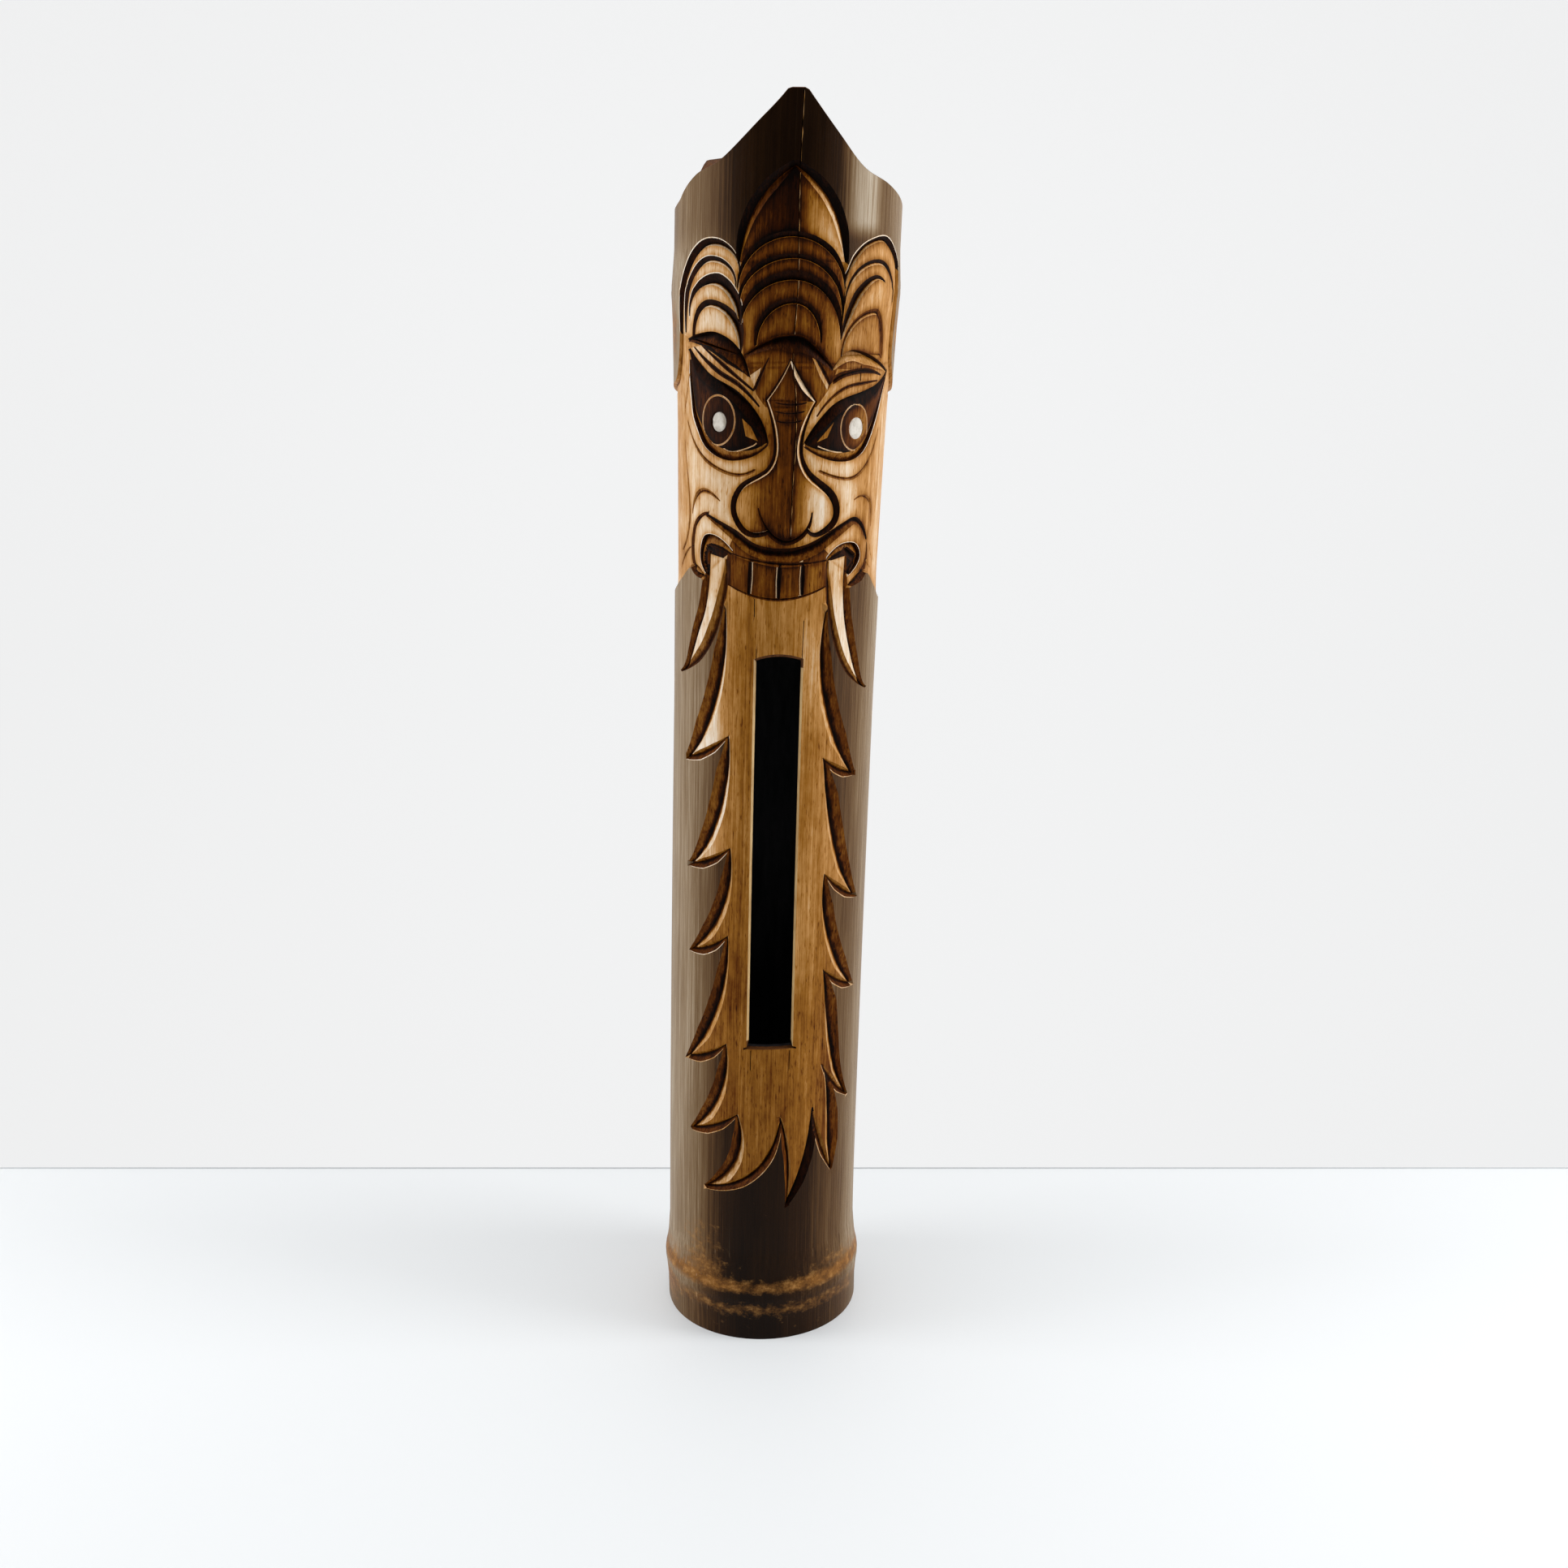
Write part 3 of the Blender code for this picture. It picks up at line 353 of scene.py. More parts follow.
def eye_cuts():
    """The upper lids, the lower edges, the folds under them, the irises, the pupils and the lower lids."""
    lid = ((1.2, 1.25), (1.16, 1.25))
    under = ((1.05, 1.2), (0.66, 0.95))
    return [
        Cut(smooth((-49.5, 493.6), (-40.2, 485.4), (-33.6, 480.9), (-20.4, 474.2), (-10.7, 463.9),
                   (-6.2, 452.5)), 0.6, (1.2, 4.8, 4.4, 4.6, 5, 0.8), lid),
        Cut(smooth((10.8, 452.3), (17.7, 462.4), (26.3, 470), (42.5, 475), (52, 478.2), (61, 484)), 0.6,
            (0.8, 4.4, 4.8, 4.8, 3.6, 0.6), lid),
        Cut(smooth((-6.4, 451.6), (-14.8, 446.4), (-26.5, 445.4), (-37.6, 450.4), (-44, 458.5),
                   (-48.3, 467.5), (-49.3, 489)), 0.7, (0.8, 3.2, 3.8, 3.6, 2.8, 1.6, 0.6), under,
            rim=(0, 0, 0, 0.2, 0.8, 1, 0)),
        Cut(smooth((60, 481.5), (55.5, 468), (45.6, 451.4), (36.5, 445.3), (23.8, 445.2), (11.1, 450.7)),
            0.7, (0.6, 1.6, 2.8, 3.4, 3.2, 0.8), under, rim=(0, 0.6, 0.4, 0, 0, 0)),
        Cut(smooth((-12, 440.6), (-21.4, 438.5), (-33.6, 442.3), (-44.7, 449.9), (-53.9, 461.4)),
            (1.2, 1.1, 0.5), (0.5, 0.7, 0.4), BROWN),
        Cut(smooth((57.3, 457.8), (50.7, 446.9), (41.5, 438.7), (33, 436.4), (18.7, 440.1)),
            (0.5, 1.1, 1.1), (0.4, 0.7, 0.4), BROWN),
        Cut(ring((-31.3, 462.2), 9.3, 11), 0.4, 0.4, TAN, depth=0.5),
        Cut(ring((37.2, 459), 8.6, 10.2), 0.35, 0.35, TAN, depth=0.5),
        Cut(ring((-30.9, 461.5), 4, 4.4), 0.5, 0.5, depth=0.6),
        Cut(ring((38.5, 458.6), 4.5, 4.8), 0.6, 0.5, ((0.5, 0.7), (0.5, 0.7)), depth=0.6),
        Cut(smooth((-27.5, 449.7), (-22.4, 448.4), (-13.8, 450.7), (-11.2, 452.4)), 0.25, 0.25, TAN),
        Cut(smooth((17, 450.9), (23.8, 448.7), (30, 448)), 0.25, 0.25, TAN),
    ]


def nose_cuts():
    """The sides and the tip of the nose, the diamond between the brows, and the wrinkles."""
    edge = ((1.1, 1.25), (0.26, 0.9))
    wrinkles = [((-3, z), (11 - 0.25 * (470 - z), z)) for z in (470, 466.2, 462.2)]
    return [
        Cut(smooth((-5, 413.5), (-14.5, 413.4), (-20.6, 422.5), (-17.6, 432.2), (-5, 440.7), (-2.2, 452),
                   (-7, 471)), (1.8, 2.6, 2.6, 1.6, 1.2, 1, 0.6), (0.2, 0.2, 0.3, 0.8, 1, 1, 0.6), edge),
        Cut(smooth((15, 470.3), (8.8, 452), (12, 439.2), (25, 427.4), (26.4, 418.6), (18.6, 412.4),
                   (13.9, 414.1)), (0.6, 1, 1.4, 2.4, 3.2, 3, 1.4), (0.6, 1.2, 1.4, 1.4, 0.8, 0.4, 0.3),
            edge),
        Cut(smooth((15.4, 421.6), (12, 412.6), (3.8, 408.6), (-4, 413), (-9.5, 423.6)),
            (0.4, 1.6, 2, 1.6, 0.4), (0.3, 0.6, 0.6, 0.6, 0.3)),
        Cut(bow((-7, 471), (3.1, 488.6), -0.8), (0.9, 0.8, 0.3), 0.5, edge),
        Cut(bow((3.1, 488.6), (15, 470.3), -0.6), (0.3, 0.9, 1, 0.6), (0.3, 1.8, 2, 0.4),
            ((1.1, 1.25), (0.14, 0.2))),
        *[Cut(bow(a, b, -1), (0.3, 0.8, 0.3), (0.3, 0.7, 0.3)) for a, b in wrinkles],
    ]


def mouth_cuts():
    """The groove over the lips, the curls at the corners, and the open corners of the mouth."""
    facet = ((1, 1.2), (0.64, 0.9))
    return [
        Cut(smooth((-38, 420), (-23.5, 412.8), (-11, 405.2), (3, 403.2), (16, 405.6), (32, 414.6),
                   (41, 417.2), (50.8, 408)), (0.8, 2.4, 2.2, 2.4, 1.4, 0.8), (0.6, 3.2, 4.4, 3.2, 0.9),
            ((1.1, 1.25), (0.76, 1.2))),
        Cut(smooth((-37.6, 391.6), (-43.5, 393.8), (-46.8, 399), (-47.4, 407), (-45.4, 414.6),
                   (-40.6, 418.9), (-36, 420.3)), (1.4, 2.4, 2.4, 1.6, 0.9), (0.4, 0.6, 0.7, 0.9, 0.5),
            LINE),
        Cut(smooth((51.4, 406), (50.6, 397.6), (45, 391.6), (37.3, 387.2)), (0.4, 2.2, 3, 0.8),
            (0.3, 0.6, 0.7, 0.4), LINE),
        Cut(smooth((-37.2, 393), (-41.2, 400.5), (-38.6, 409.6), (-31, 410), (-22.2, 403.7)), 0.4,
            (1, 2.6, 4.4, 3.4, 0.8), facet, rim=0.25),
        Cut(smooth((24.3, 400.5), (32, 406.2), (41, 406), (44.9, 400), (37.5, 392.4)), 0.4,
            (0.8, 2.4, 3.8, 3.4, 1.6), facet, rim=0.25),
        Cut(smooth((-48.9, 419.6), (-45, 427.6), (-38.5, 430.5), (-29.1, 426.3)), (0.4, 1.5, 1.4, 0.3),
            (0.3, 0.8, 0.9, 0.3), BROWN),
        Cut(smooth((38.8, 426.5), (45.5, 427.8), (53, 424), (55.5, 413.8)), (0.3, 1.2, 1.5, 0.5),
            (0.3, 0.7, 0.8, 0.4), BROWN),
        Cut(smooth((-34.4, 406.4), (-29, 405.2), (-22.8, 402.6)), (0.6, 1, 0.5), (0.6, 0.9, 0.5)),
        Cut(smooth((25, 399.8), (29.4, 401.6), (33.4, 403.4)), (0.5, 1, 0.6), (0.5, 0.8, 0.5)),
        Cut(smooth((-37, 394.6), (-38.8, 400), (-37.4, 404.6), (-34.6, 404.4)), 1.4, 2.4),
        Cut(smooth((35.6, 404.2), (40, 401.4), (43, 399.4), (38.2, 393.6)), 1.2, 3.2),
    ]


def cheek_cuts():
    """Single strokes of the knife on the temples and the cheeks."""
    return [
        Cut(smooth((-61.6, 401.6), (-54.5, 408.8), (-51.5, 418.5), (-52.8, 431), (-55.9, 444),
                   (-57.5, 452)), (0.8, 1, 0.9, 0.6, 0.3), (0.6, 0.6, 0.5, 0.4, 0.2), BROWN),
        Cut(smooth((-63.2, 394), (-55.4, 401.5), (-47.8, 404.9)), (0.7, 0.9, 0.3), (0.6, 0.6, 0.3), BROWN),
        Cut(smooth((-57.9, 466), (-54.4, 473.6), (-50.3, 482.5)), (0.3, 0.8, 0.3), (0.3, 0.6, 0.3), FAINT),
        Cut(smooth((51.3, 399.1), (53.8, 396.3), (57.5, 394)), (0.4, 0.7, 0.3), 0.4, FAINT),
        Cut(smooth((56.1, 404.6), (57.1, 401.4), (58.9, 399.3)), (0.3, 0.7, 0.4), 0.4, FAINT),
        Cut(smooth((60.5, 420), (61.6, 440), (60.8, 462)), (0.3, 0.5, 0.3), 0.3, FAINT),
    ]


def teeth_cuts():
    """The gaps between the upper teeth, the line under the teeth and the line over them."""
    gaps = [((-12.8, 399), (-13.5, 384.6)), ((0.9, 382.6), (1.2, 398)), ((12.2, 384.2), (12.4, 398.6))]
    return [
        # The pale rim strip beside each gap is a painted highlight.
        *[Cut(smooth(*gap), (0.8, 1.2, 1), (0.8, 1, 0.8), DEEP, rim=0.36, bare=0.24) for gap in gaps],
        Cut(bow((24, 387.6), (-23, 388.2), 5.6), (0.5, 1.1, 0.5), (0.3, 0.5, 0.3), LINE),
        Cut(bow((-22, 402.6), (23.8, 399.4), -2.6), (0.5, 1.2, 0.5), (0.4, 1.6, 0.4), LINE),
    ]


def tusk_cuts():
    """The two edges of the left tusk, then those of the right one. Each pair meets in its tip."""
    white = ((0.8, 1.2), (-0.05, 0.6))
    amber = ((0.95, 1.25), (0.6, 0.95))
    return (
        (
            Cut(smooth((-56.6, 344.6), (-49.6, 350), (-42.6, 364.8), (-37.2, 378.1), (-34.6, 402)),
                (0.6, 2.6, 3.8, 3.4, 1.6), (0.2, 0.5, 0.5, 0.3), white, ground=SHAVED),
            Cut(smooth((-25.2, 400), (-25.7, 389), (-30.6, 370.4), (-40, 355.2), (-56.6, 344.6)),
                (1, 2, 3.2, 3.2, 0.6), (0.8, 3.2, 3.8, 3, 0.4), amber, ground=SHAVED),
        ),
        (
            Cut(smooth((54.8, 337), (38.2, 349.4), (28.9, 369.8), (25.2, 389.8), (24.8, 399)),
                (0.6, 2.6, 2.6, 1.8, 0.8), (0.4, 2.2, 2.2, 2, 0.6), amber, ground=SHAVED),
            Cut(smooth((34.6, 401), (35.8, 375), (42, 354), (48.6, 341.6), (54.8, 337)),
                (0.8, 3.2, 3.8, 3.2, 0.6), (0.2, 0.4, 0.5, 0.3), white, ground=SHAVED),
        ),
    )


# The hooked locks of the beard: where each one leaves the beard, its tip, how far its outer edge
# sags towards the beard, and where along it the sag is greatest.
LEFT_LOCKS = [
    ((-25.2, 377), (-49.2, 303.6), 7.6, 0.55),
    ((-22.2, 317), (-45, 250.8), 7.2, 0.55),
    ((-20.2, 262), (-42.6, 207), 7.4, 0.5),
    ((-20.5, 217.5), (-44.8, 149.4), 6.6, 0.5),
    ((-20.3, 161), (-40.6, 111.4), 6.6, 0.5),
    ((-13.4, 124), (-30.2, 82), 8.4, 0.5),
]
RIGHT_LOCKS = [
    ((24.8, 375.4), (46.2, 296.2), 8.4, 0.5),
    ((26.6, 305.8), (53.4, 232.4), 5.2, 0.6),
    ((30, 247.6), (53.4, 185.6), 6.6, 0.5),
    ((31.4, 198), (52.4, 126.2), 3.8, 0.65),
    ((32.5, 147.6), (40.8, 88.6), -3.4, 0.4),
]
MIDDLE_LOCK = ((9.4, 122.4), (13.4, 76), (27.2, 125.4))


def beard_cuts():
    """The locks in clockwise order: down the right side of the beard and up its left side."""
    left_end, middle_tip, right_end = MIDDLE_LOCK
    wide = [(0.4, 4.4, 5.4, 5.4, 1.8), (0.6, 5.2, 5.6, 4.4, 1.4), (0.6, 4.4, 4.6, 4.2, 1.4)]
    right_bands = [*wide, (0.6, 5.2, 4.2, 2, 0.5), (0.5, 2.6, 4.6, 4.4, 0.6)]
    left_bands = [*wide[:2], *[(0.6, 3.8, 4.4, 3.8, 1.2)] * 4]
    lip = (0.4, 2, 3.6, 4.2, 0.6)
    under, hang_in = (0.5, 2.6, 3, 1.4), (0.4, 1.6, 1.8, 0.4)
    hook = {"stain": ((0.9, 1.2), (0.6, 0.92)), "rim": (0.1, 0.4, 0.4, 0.2), "ground": SHAVED}
    golden = ((0.8, 1.2), (0.36, 0.9))
    cream = ((0.72, 1.2), (0.12, 0.9))
    ends = [root for root, *_ in RIGHT_LOCKS[1:]] + [right_end]
    cuts = []
    for (root, tip, sag, peak), band, end in zip(RIGHT_LOCKS, right_bands, ends):
        cuts.append(Cut(bow(root, tip, -sag, peak), band, lip, golden, ground=SHAVED))
        cuts.append(Cut(bow(tip, end, 1.4), under[::-1], hang_in[::-1], bare=0.3, **hook))
    middle = bow(right_end, middle_tip, 2.8), bow(middle_tip, left_end, -3)
    cuts.append(Cut(middle[0], (0.8, 3.6, 4.4, 4, 1.6), 0.6, GRAVED, ground=SHAVED))
    cuts.append(Cut(middle[1], (0.8, 2.8, 3.2, 1.2), 0.6, golden, ground=SHAVED))
    last, hang = left_end, 11
    for i, (root, tip, sag, peak) in reversed(list(enumerate(LEFT_LOCKS))):
        bare, stain = (0.12 if i < 3 else 0.36), (cream if i < 2 else golden)
        cuts.append(Cut(bow(last, tip, hang), under, hang_in, bare=bare, **hook))
        band = left_bands[i][::-1]
        cuts.append(Cut(bow(tip, root, -sag, 1 - peak), band, lip[::-1], stain, ground=SHAVED))
        last, hang = root, 1.8
    return cuts


def border_cuts():
    """Steps between the shaved face and the skin that no other cut makes: brows, then jaws."""
    left_brow = smooth((-88, 474), (-72, 477.6), (-61.5, 481.5), (-56.7, 500.5))
    right_brow = smooth((64.5, 530), (63.2, 508), (63, 490), (72, 478.6), (88, 474))
    left_jaw = smooth((-38.5, 391), (-47.1, 396), (-57.7, 389.4), (-70, 383.2), (-88, 379))
    right_jaw = smooth((88, 378), (70, 379.6), (59.4, 386.2), (50, 393), (37.6, 387.2))
    return [
        Cut(left_brow, 1, 0.8, FAINT),
        Cut(right_brow, 1, 0.8, FAINT),
        Cut(left_jaw, (1.2, 0.7, 0.7), 0.7, FAINT),
        Cut(right_jaw, (0.7, 0.7, 1.2), 0.7, FAINT),
    ]


def crack_and_kerfs():
    """The drying crack down the mask, a nick at each side and the saw's hairlines round the slot."""
    crack = smooth((4.8, 599), (4.3, 560), (5, 520), (4, 490), (5.8, 471.7), (6.4, 450), (5.8, 437.8),
                   (5.5, 410.7))
    chips = np.maximum(0, 0.5 * np.sin(2.39 * np.arange(66)) - 0.15)
    nicks = [((-74.5, 331), (-74.5, 345)), ((74.5, 314), (74.5, 328))]
    nick = (0.3, 2, 0.3)
    hairlines = [
        ((-8.8, 353), (-8.9, 359)),
        ((13.4, 354), (13.6, 372)),
        ((-10.3, 374), (-10.4, 382)),
        ((-6.9, 158.8), (-6.9, 148.5)),
        ((13.3, 158.8), (13.2, 148.5)),
    ]
    return [
        Cut(crack, 0.24, 0.24, depth=0.7, rim=chips, bare=0.34),
        *[Cut(smooth(*ends), nick, nick, PALE, ground=0) for ends in nicks],
        *[Cut(smooth(*ends), 0.2, 0.2, depth=0.5) for ends in hairlines],
    ]


LEAF, ARCHES = crown_cuts()
LEFT_FAN, RIGHT_FAN = fan_cuts()
BROWS = brow_cuts()
EYES = eye_cuts()
NOSE = nose_cuts()
MOUTH = mouth_cuts()
TEETH = teeth_cuts()
TUSKS = tusk_cuts()
BEARD = beard_cuts()
BORDERS = border_cuts()
CUTS = [*LEAF, *ARCHES, *LEFT_FAN, *RIGHT_FAN, *BROWS, *EYES, *NOSE, *MOUTH, *cheek_cuts(), *TEETH]
CUTS += [*TUSKS[0], *TUSKS[1], *BEARD, *BORDERS, *crack_and_kerfs()]


def joined(*parts):
    """One outline from cuts and lists of points."""
    return np.concatenate([part.line if isinstance(part, Cut) else part for part in parts])


def shaved_areas():
    """Closed outlines that together cover the wood from which the skin is shaved."""
    left_brow, right_brow, left_jaw, right_jaw = BORDERS
    return [
        joined(*LEAF, [(25, 490), (-20, 490)]),
        joined(LEFT_FAN[0], [(-19, 480), (-50, 480)]),
        joined(RIGHT_FAN[0], right_brow, [(25, 480)]),
        joined(left_brow, right_brow.line[right_brow.line[:, 1] < 500], right_jaw, left_jaw),
        joined(*TUSKS[0]),
        joined(*TUSKS[1]),
        joined([(-25, 400), (25, 400)], *BEARD),
    ]


def inside(points, outline):
    """Whether each point lies inside the closed outline."""
    u, z = points[:, 0], points[:, 1]
    within = np.zeros(len(points), bool)
    for (u0, z0), (u1, z1) in zip(outline, np.roll(outline, -1, axis=0)):
        if z0 == z1:
            continue
        crosses = (z0 > z) != (z1 > z)
        within ^= crosses & (u < u0 + (z - z0) * (u1 - u0) / (z1 - z0))
    return within


def toned_areas():
    """Outlines with a tone of their own, and how brown each is at even steps from left to right."""
    beside_diamond = [(26, 487), (20.5, 475), (15.5, 468), (-7.5, 468), (-12.8, 475), (-16, 487)]
    lips = [(-25, 403), (-22, 409.5), (0, 401.5), (20, 407), (25.5, 402), (23.5, 398), (-22.5, 401)]
    nose_tip = NOSE[2].line[NOSE[2].line[:, 1] < 413.2]
    stripes = [(-50, 494), (-41, 495), (-14, 480.5), (-10.5, 470), (-14, 468.5), (-34, 481.5), (-49, 493.4)]
    left_wedge = [(-14.8, 481.7), (-9.7, 485), (-12.5, 476.1)]
    right_wedge = [(12.6, 489.3), (14.1, 488.3), (20.7, 477.6), (20.2, 475.6), (16.2, 481.7)]
    teeth = [TEETH[-1], [(24.6, 399), (24.8, 387)], TEETH[-2], [(-24.6, 388), (-24.6, 403)]]
    return [
        (*LEAF, (0.6, 0.8, 1, 1.14, 0.5, 0.22, 0.14)),
        (ARCHES[0], [(26, 485), (-20, 485)], (0.6, 0.7, 0.76, 0.8, 0.72, 0.46)),
        (beside_diamond, (0.72, 0.7, 0.66)),
        (stripes, (0.14, 0.2, 0.26, 0.34)),
        (left_wedge, (0.2, 0.2)),
        (right_wedge, (0.26, 0.26)),
        (LEFT_FAN[0], [(-18, 490)], (0.24, 0.22, 0.18, 0.26)),
        (RIGHT_FAN[0], [(64.5, 488), (27, 484)], (0.3, 0.4, 0.4, 0.38)),
        (RIGHT_FAN[3], (0.46, 0.54, 0.48)),
        (BROWS[0], [(-26.5, 487.3), (-33.6, 491.6), (-40.7, 494.9)], (0.92, 1.04, 1.02, 1.04)),
        (BROWS[1], (0.66, 0.46, 0.4)),
        # The cream at the nose's left wing and the near white of its right wing are painted highlights.
        (NOSE[0], NOSE[1], nose_tip, (0.2, 0.52, 0.78, 0.8, 0.9, 0.3, 0.02, 0.3)),
        (NOSE[3], NOSE[4], (0.8, 0.78, 0.84, 0.86, 0.72)),
        (EYES[0], EYES[2], (0.95, 0.98, 1, 1.2, 0.95)),
        (EYES[1], EYES[3], (0.95, 1.2, 1, 0.8, 0.7)),
        (EYES[6], (0.96, 0.9, 1, 1.05)),
        (EYES[7], (1.1, 0.9, 0.66, 0.62)),
        ([(-18.2, 463), (-14, 459.5), (-10.6, 453.2), (-16.3, 455.3)], (0.5, 0.56)),
        ([(16.4, 452.6), (24.6, 461.4), (21.4, 454.6)], (0.56, 0.62)),
        (lips, (0.66, 0.74, 0.62)),
        (MOUTH[3], (0.95, 0.95)),
        (MOUTH[4], (0.9, 0.95)),
        (*teeth, (0.76, 0.8, 0.74, 0.56)),
        (*TUSKS[0], (0.12, 0.12)),
        (*TUSKS[1], (0.14, 0.14)),
    ]


AREAS = [(joined(*parts), tones) for *parts, tones in toned_areas()]
PUPILS = [((-30.9, 461.5), 3.6, 4), ((38.5, 458.6), 4.1, 4.4)]


def surveyed(points):
    """Height over the skin, share of a cut's depth, stains and kind at each point."""
    shaved = np.zeros(len(points), bool)
    for outline in shaved_areas():
        shaved |= inside(points, outline)
    off_front = np.abs(points[:, 0])
    ground = np.where(shaved, shaved_level(points) * (1 - rise(off_front, 78, 90)), 0.0)
    survey = {
        "height": ground.copy(),
        "share": np.zeros(len(points)),
        "stain": np.full((len(points), 2), np.nan),
        "bleed": np.zeros(len(points)),
        "bare": np.full(len(points), np.nan),
    }
    pupil = np.zeros(len(points), bool)
    for centre, across, up in PUPILS:
        off = (((points - centre) / (across, up)) ** 2).sum(axis=1)
        pupil |= off < 1.2
        survey["height"][off < 1.4] -= 0.4
    for cut in CUTS:
        cut.cut(points, ground, survey)
    carved = ~np.isnan(survey["stain"][:, 0])
    bare = ~np.isnan(survey["bare"]) & ~carved
    kind = np.where(carved | (shaved & (off_front < SIDE_EDGE)), WOOD, SKIN)
    kind[pupil & ~carved] = PAINT
    kind[bare] = WOOD
    survey["kind"] = kind
    survey["stain"][bare] = survey["bare"][bare, None]
    return survey


def area_at(points):
    """The number of the named area that each point lies in, or -1."""
    number = np.full(len(points), -1)
    for i, (outline, _) in enumerate(AREAS):
        number[inside(points, outline)] = i
    return number


# The surface of the culm.


def rim(u):
    """Height of the rim: a point in front, a lower one behind on the left, dips at the sides."""
    back = smooth((-HALF_TURN, 570), (-128, 572), (-120.5, 577), (-114.5, 583), (-106.5, 573), (-97, 561))
    left = smooth((-97, 561), (-78, 556.5), (-60, 559))
    front_left = smooth((-60, 559), (-46, 567.5), (-30, 573), (-11, 589.5), (-1.3, RIM_POINT))
    front_right = smooth((6.3, RIM_POINT), (21, 582), (34, 569.5), (50, 564.5), (78, 556.5))
    back_right = smooth((78, 556.5), (115, 560), (HALF_TURN, 570))
    line = np.concatenate([back, left[1:], front_left[1:], front_right, back_right[1:]])
    return np.interp(u, line[:, 0], line[:, 1])


def skin_radius(z):
    return np.interp(z, *zip(*PROFILE))


def wrapped(flat, radius):
    """The points of the straight culm at (u, z) and a radius, in millimetres."""
    angle = flat[:, 0] / UNROLLED_RADIUS
    return np.stack([radius * np.sin(angle), -radius * np.cos(angle), flat[:, 1]], axis=1)


def slot_outline():
    """The outer edge of the slot's bevel, as it lies on the carved skin."""
    half = SLOT_WIDTH / 2 + SLOT_BEVEL
    notch = half + SAW_OVERRUN
    low = SLOT_BOTTOM - SLOT_BEVEL * 0.3
    top = SLOT_TOP + 1.2 * SLOT_BEVEL
    steps = np.arange(SLOT_BOTTOM + SAW_KERF + 3, SLOT_TOP - 2, 3)
    corner = [(-notch, low - 0.6), (-notch, low - 0.6 + SAW_KERF), (-half, low + SAW_KERF)]
    outline = [
        *[(SLOT_CENTRE + x, z) for x, z in corner],
        *[(SLOT_CENTRE - half, z) for z in steps],
        *[(SLOT_CENTRE + half * s, top + SLOT_RISE * (1 - s * s)) for s in np.linspace(-1, 1, 15)],
        *[(SLOT_CENTRE + half, z) for z in steps[::-1]],
        *[(SLOT_CENTRE - x, z) for x, z in reversed(corner)],
        *[(SLOT_CENTRE + half * s, low) for s in np.linspace(0.98, -0.98, 9)],
    ]
    outline = np.array(outline)
    outline[:, 0] -= SLOT_LEAN * (outline[:, 1] - SLOT_BOTTOM)
    outline[:, 0] = UNROLLED_RADIUS * np.arcsin(outline[:, 0] / SLOT_SKIN)
    return outline


def closed(outline):
    """The outline with its first point again at the end."""
    return np.concatenate([outline, outline[:1]])


def triangulated(border, hole, lines, fill):
    """Triangles between the border and the hole that follow the lines: flat points and faces."""
    points, edges = [], []
    for strand in (closed(border), closed(hole), *lines):
        first = len(points)
        points += [Vector(point) for point in strand]
        edges += [(first + i, first + i + 1) for i in range(len(strand) - 1)]
    points += [Vector(point) for point in fill]
    flat, _, faces, *_ = delaunay_2d_cdt(points, edges, [], 0, 0.001)
    flat, faces = np.array([tuple(point) for point in flat]), np.array(faces)
    middle = flat[faces].mean(axis=1)
    return flat, faces[inside(middle, border) & ~inside(middle, hole)]


def clear_of(lines, candidates, cell):
    """The candidates that have no line in their own square cell or in the cells round it."""
    taken = set()
    for line in lines:
        for a, b in zip(line, line[1:]):
            count = int(np.linalg.norm(b - a) / (0.5 * cell)) + 2
            for u, z in a + (b - a) * np.linspace(0, 1, count)[:, None]:
                taken.add((round(u / cell), round(z / cell)))
    around = {(i + di, j + dj) for i, j in taken for di in (-1, 0, 1) for dj in (-1, 0, 1)}
    return [(u, z) for u, z in candidates if (round(u / cell), round(z / cell)) not in around]


class Surface:
    """Vertices and faces gathered from several stretches of surface, and values at both."""

    def __init__(self):
        self.faces, self.count = [], 0
        self.at_points = {"straight": [], "flat": [], "share": [], "bleed": []}
        self.at_faces = {"kind": [], "stain": [], "area": []}

    def add(self, points, faces, kind, **survey):
        self.faces += [tuple(int(i) + self.count for i in face) for face in faces]
        self.count += len(points)
        angle = np.arctan2(points[:, 0], -points[:, 1])
        values = {
            "straight": points,
            "flat": np.stack([angle * UNROLLED_RADIUS, points[:, 2]], axis=1),
            "share": np.zeros(len(points)),
            "bleed": np.zeros(len(points)),
            "kind": np.broadcast_to(kind, len(faces)),
            "stain": np.full((len(faces), 2), np.nan),
            "area": np.full(len(faces), -1),
            **survey,
        }
        for gathered in (self.at_points, self.at_faces):
            for name, stretches in gathered.items():
                stretches.append(values[name])

    def strip(self, first, second, kind):
        """Quads between two rings of points that run the same way."""
        count = len(first)
        faces = [((i + 1) % count, i, i + count, (i + 1) % count + count) for i in range(count)]
        self.add(np.concatenate([first, second]), faces, kind)

    def turned(self, ring_points, *stations):
        """Strips from the ring through the stations (radius, height, kind), then a flat disc."""
        for radius, z, kind in stations:
            row = at_radius(ring_points, radius)
            row[:, 2] = z
            self.strip(ring_points, row, kind)
            ring_points = row
        count = len(ring_points)
        faces = [((i + 1) % count, i, count) for i in range(count)]
        self.add(np.concatenate([ring_points, [(0, 0, z)]]), faces, kind)


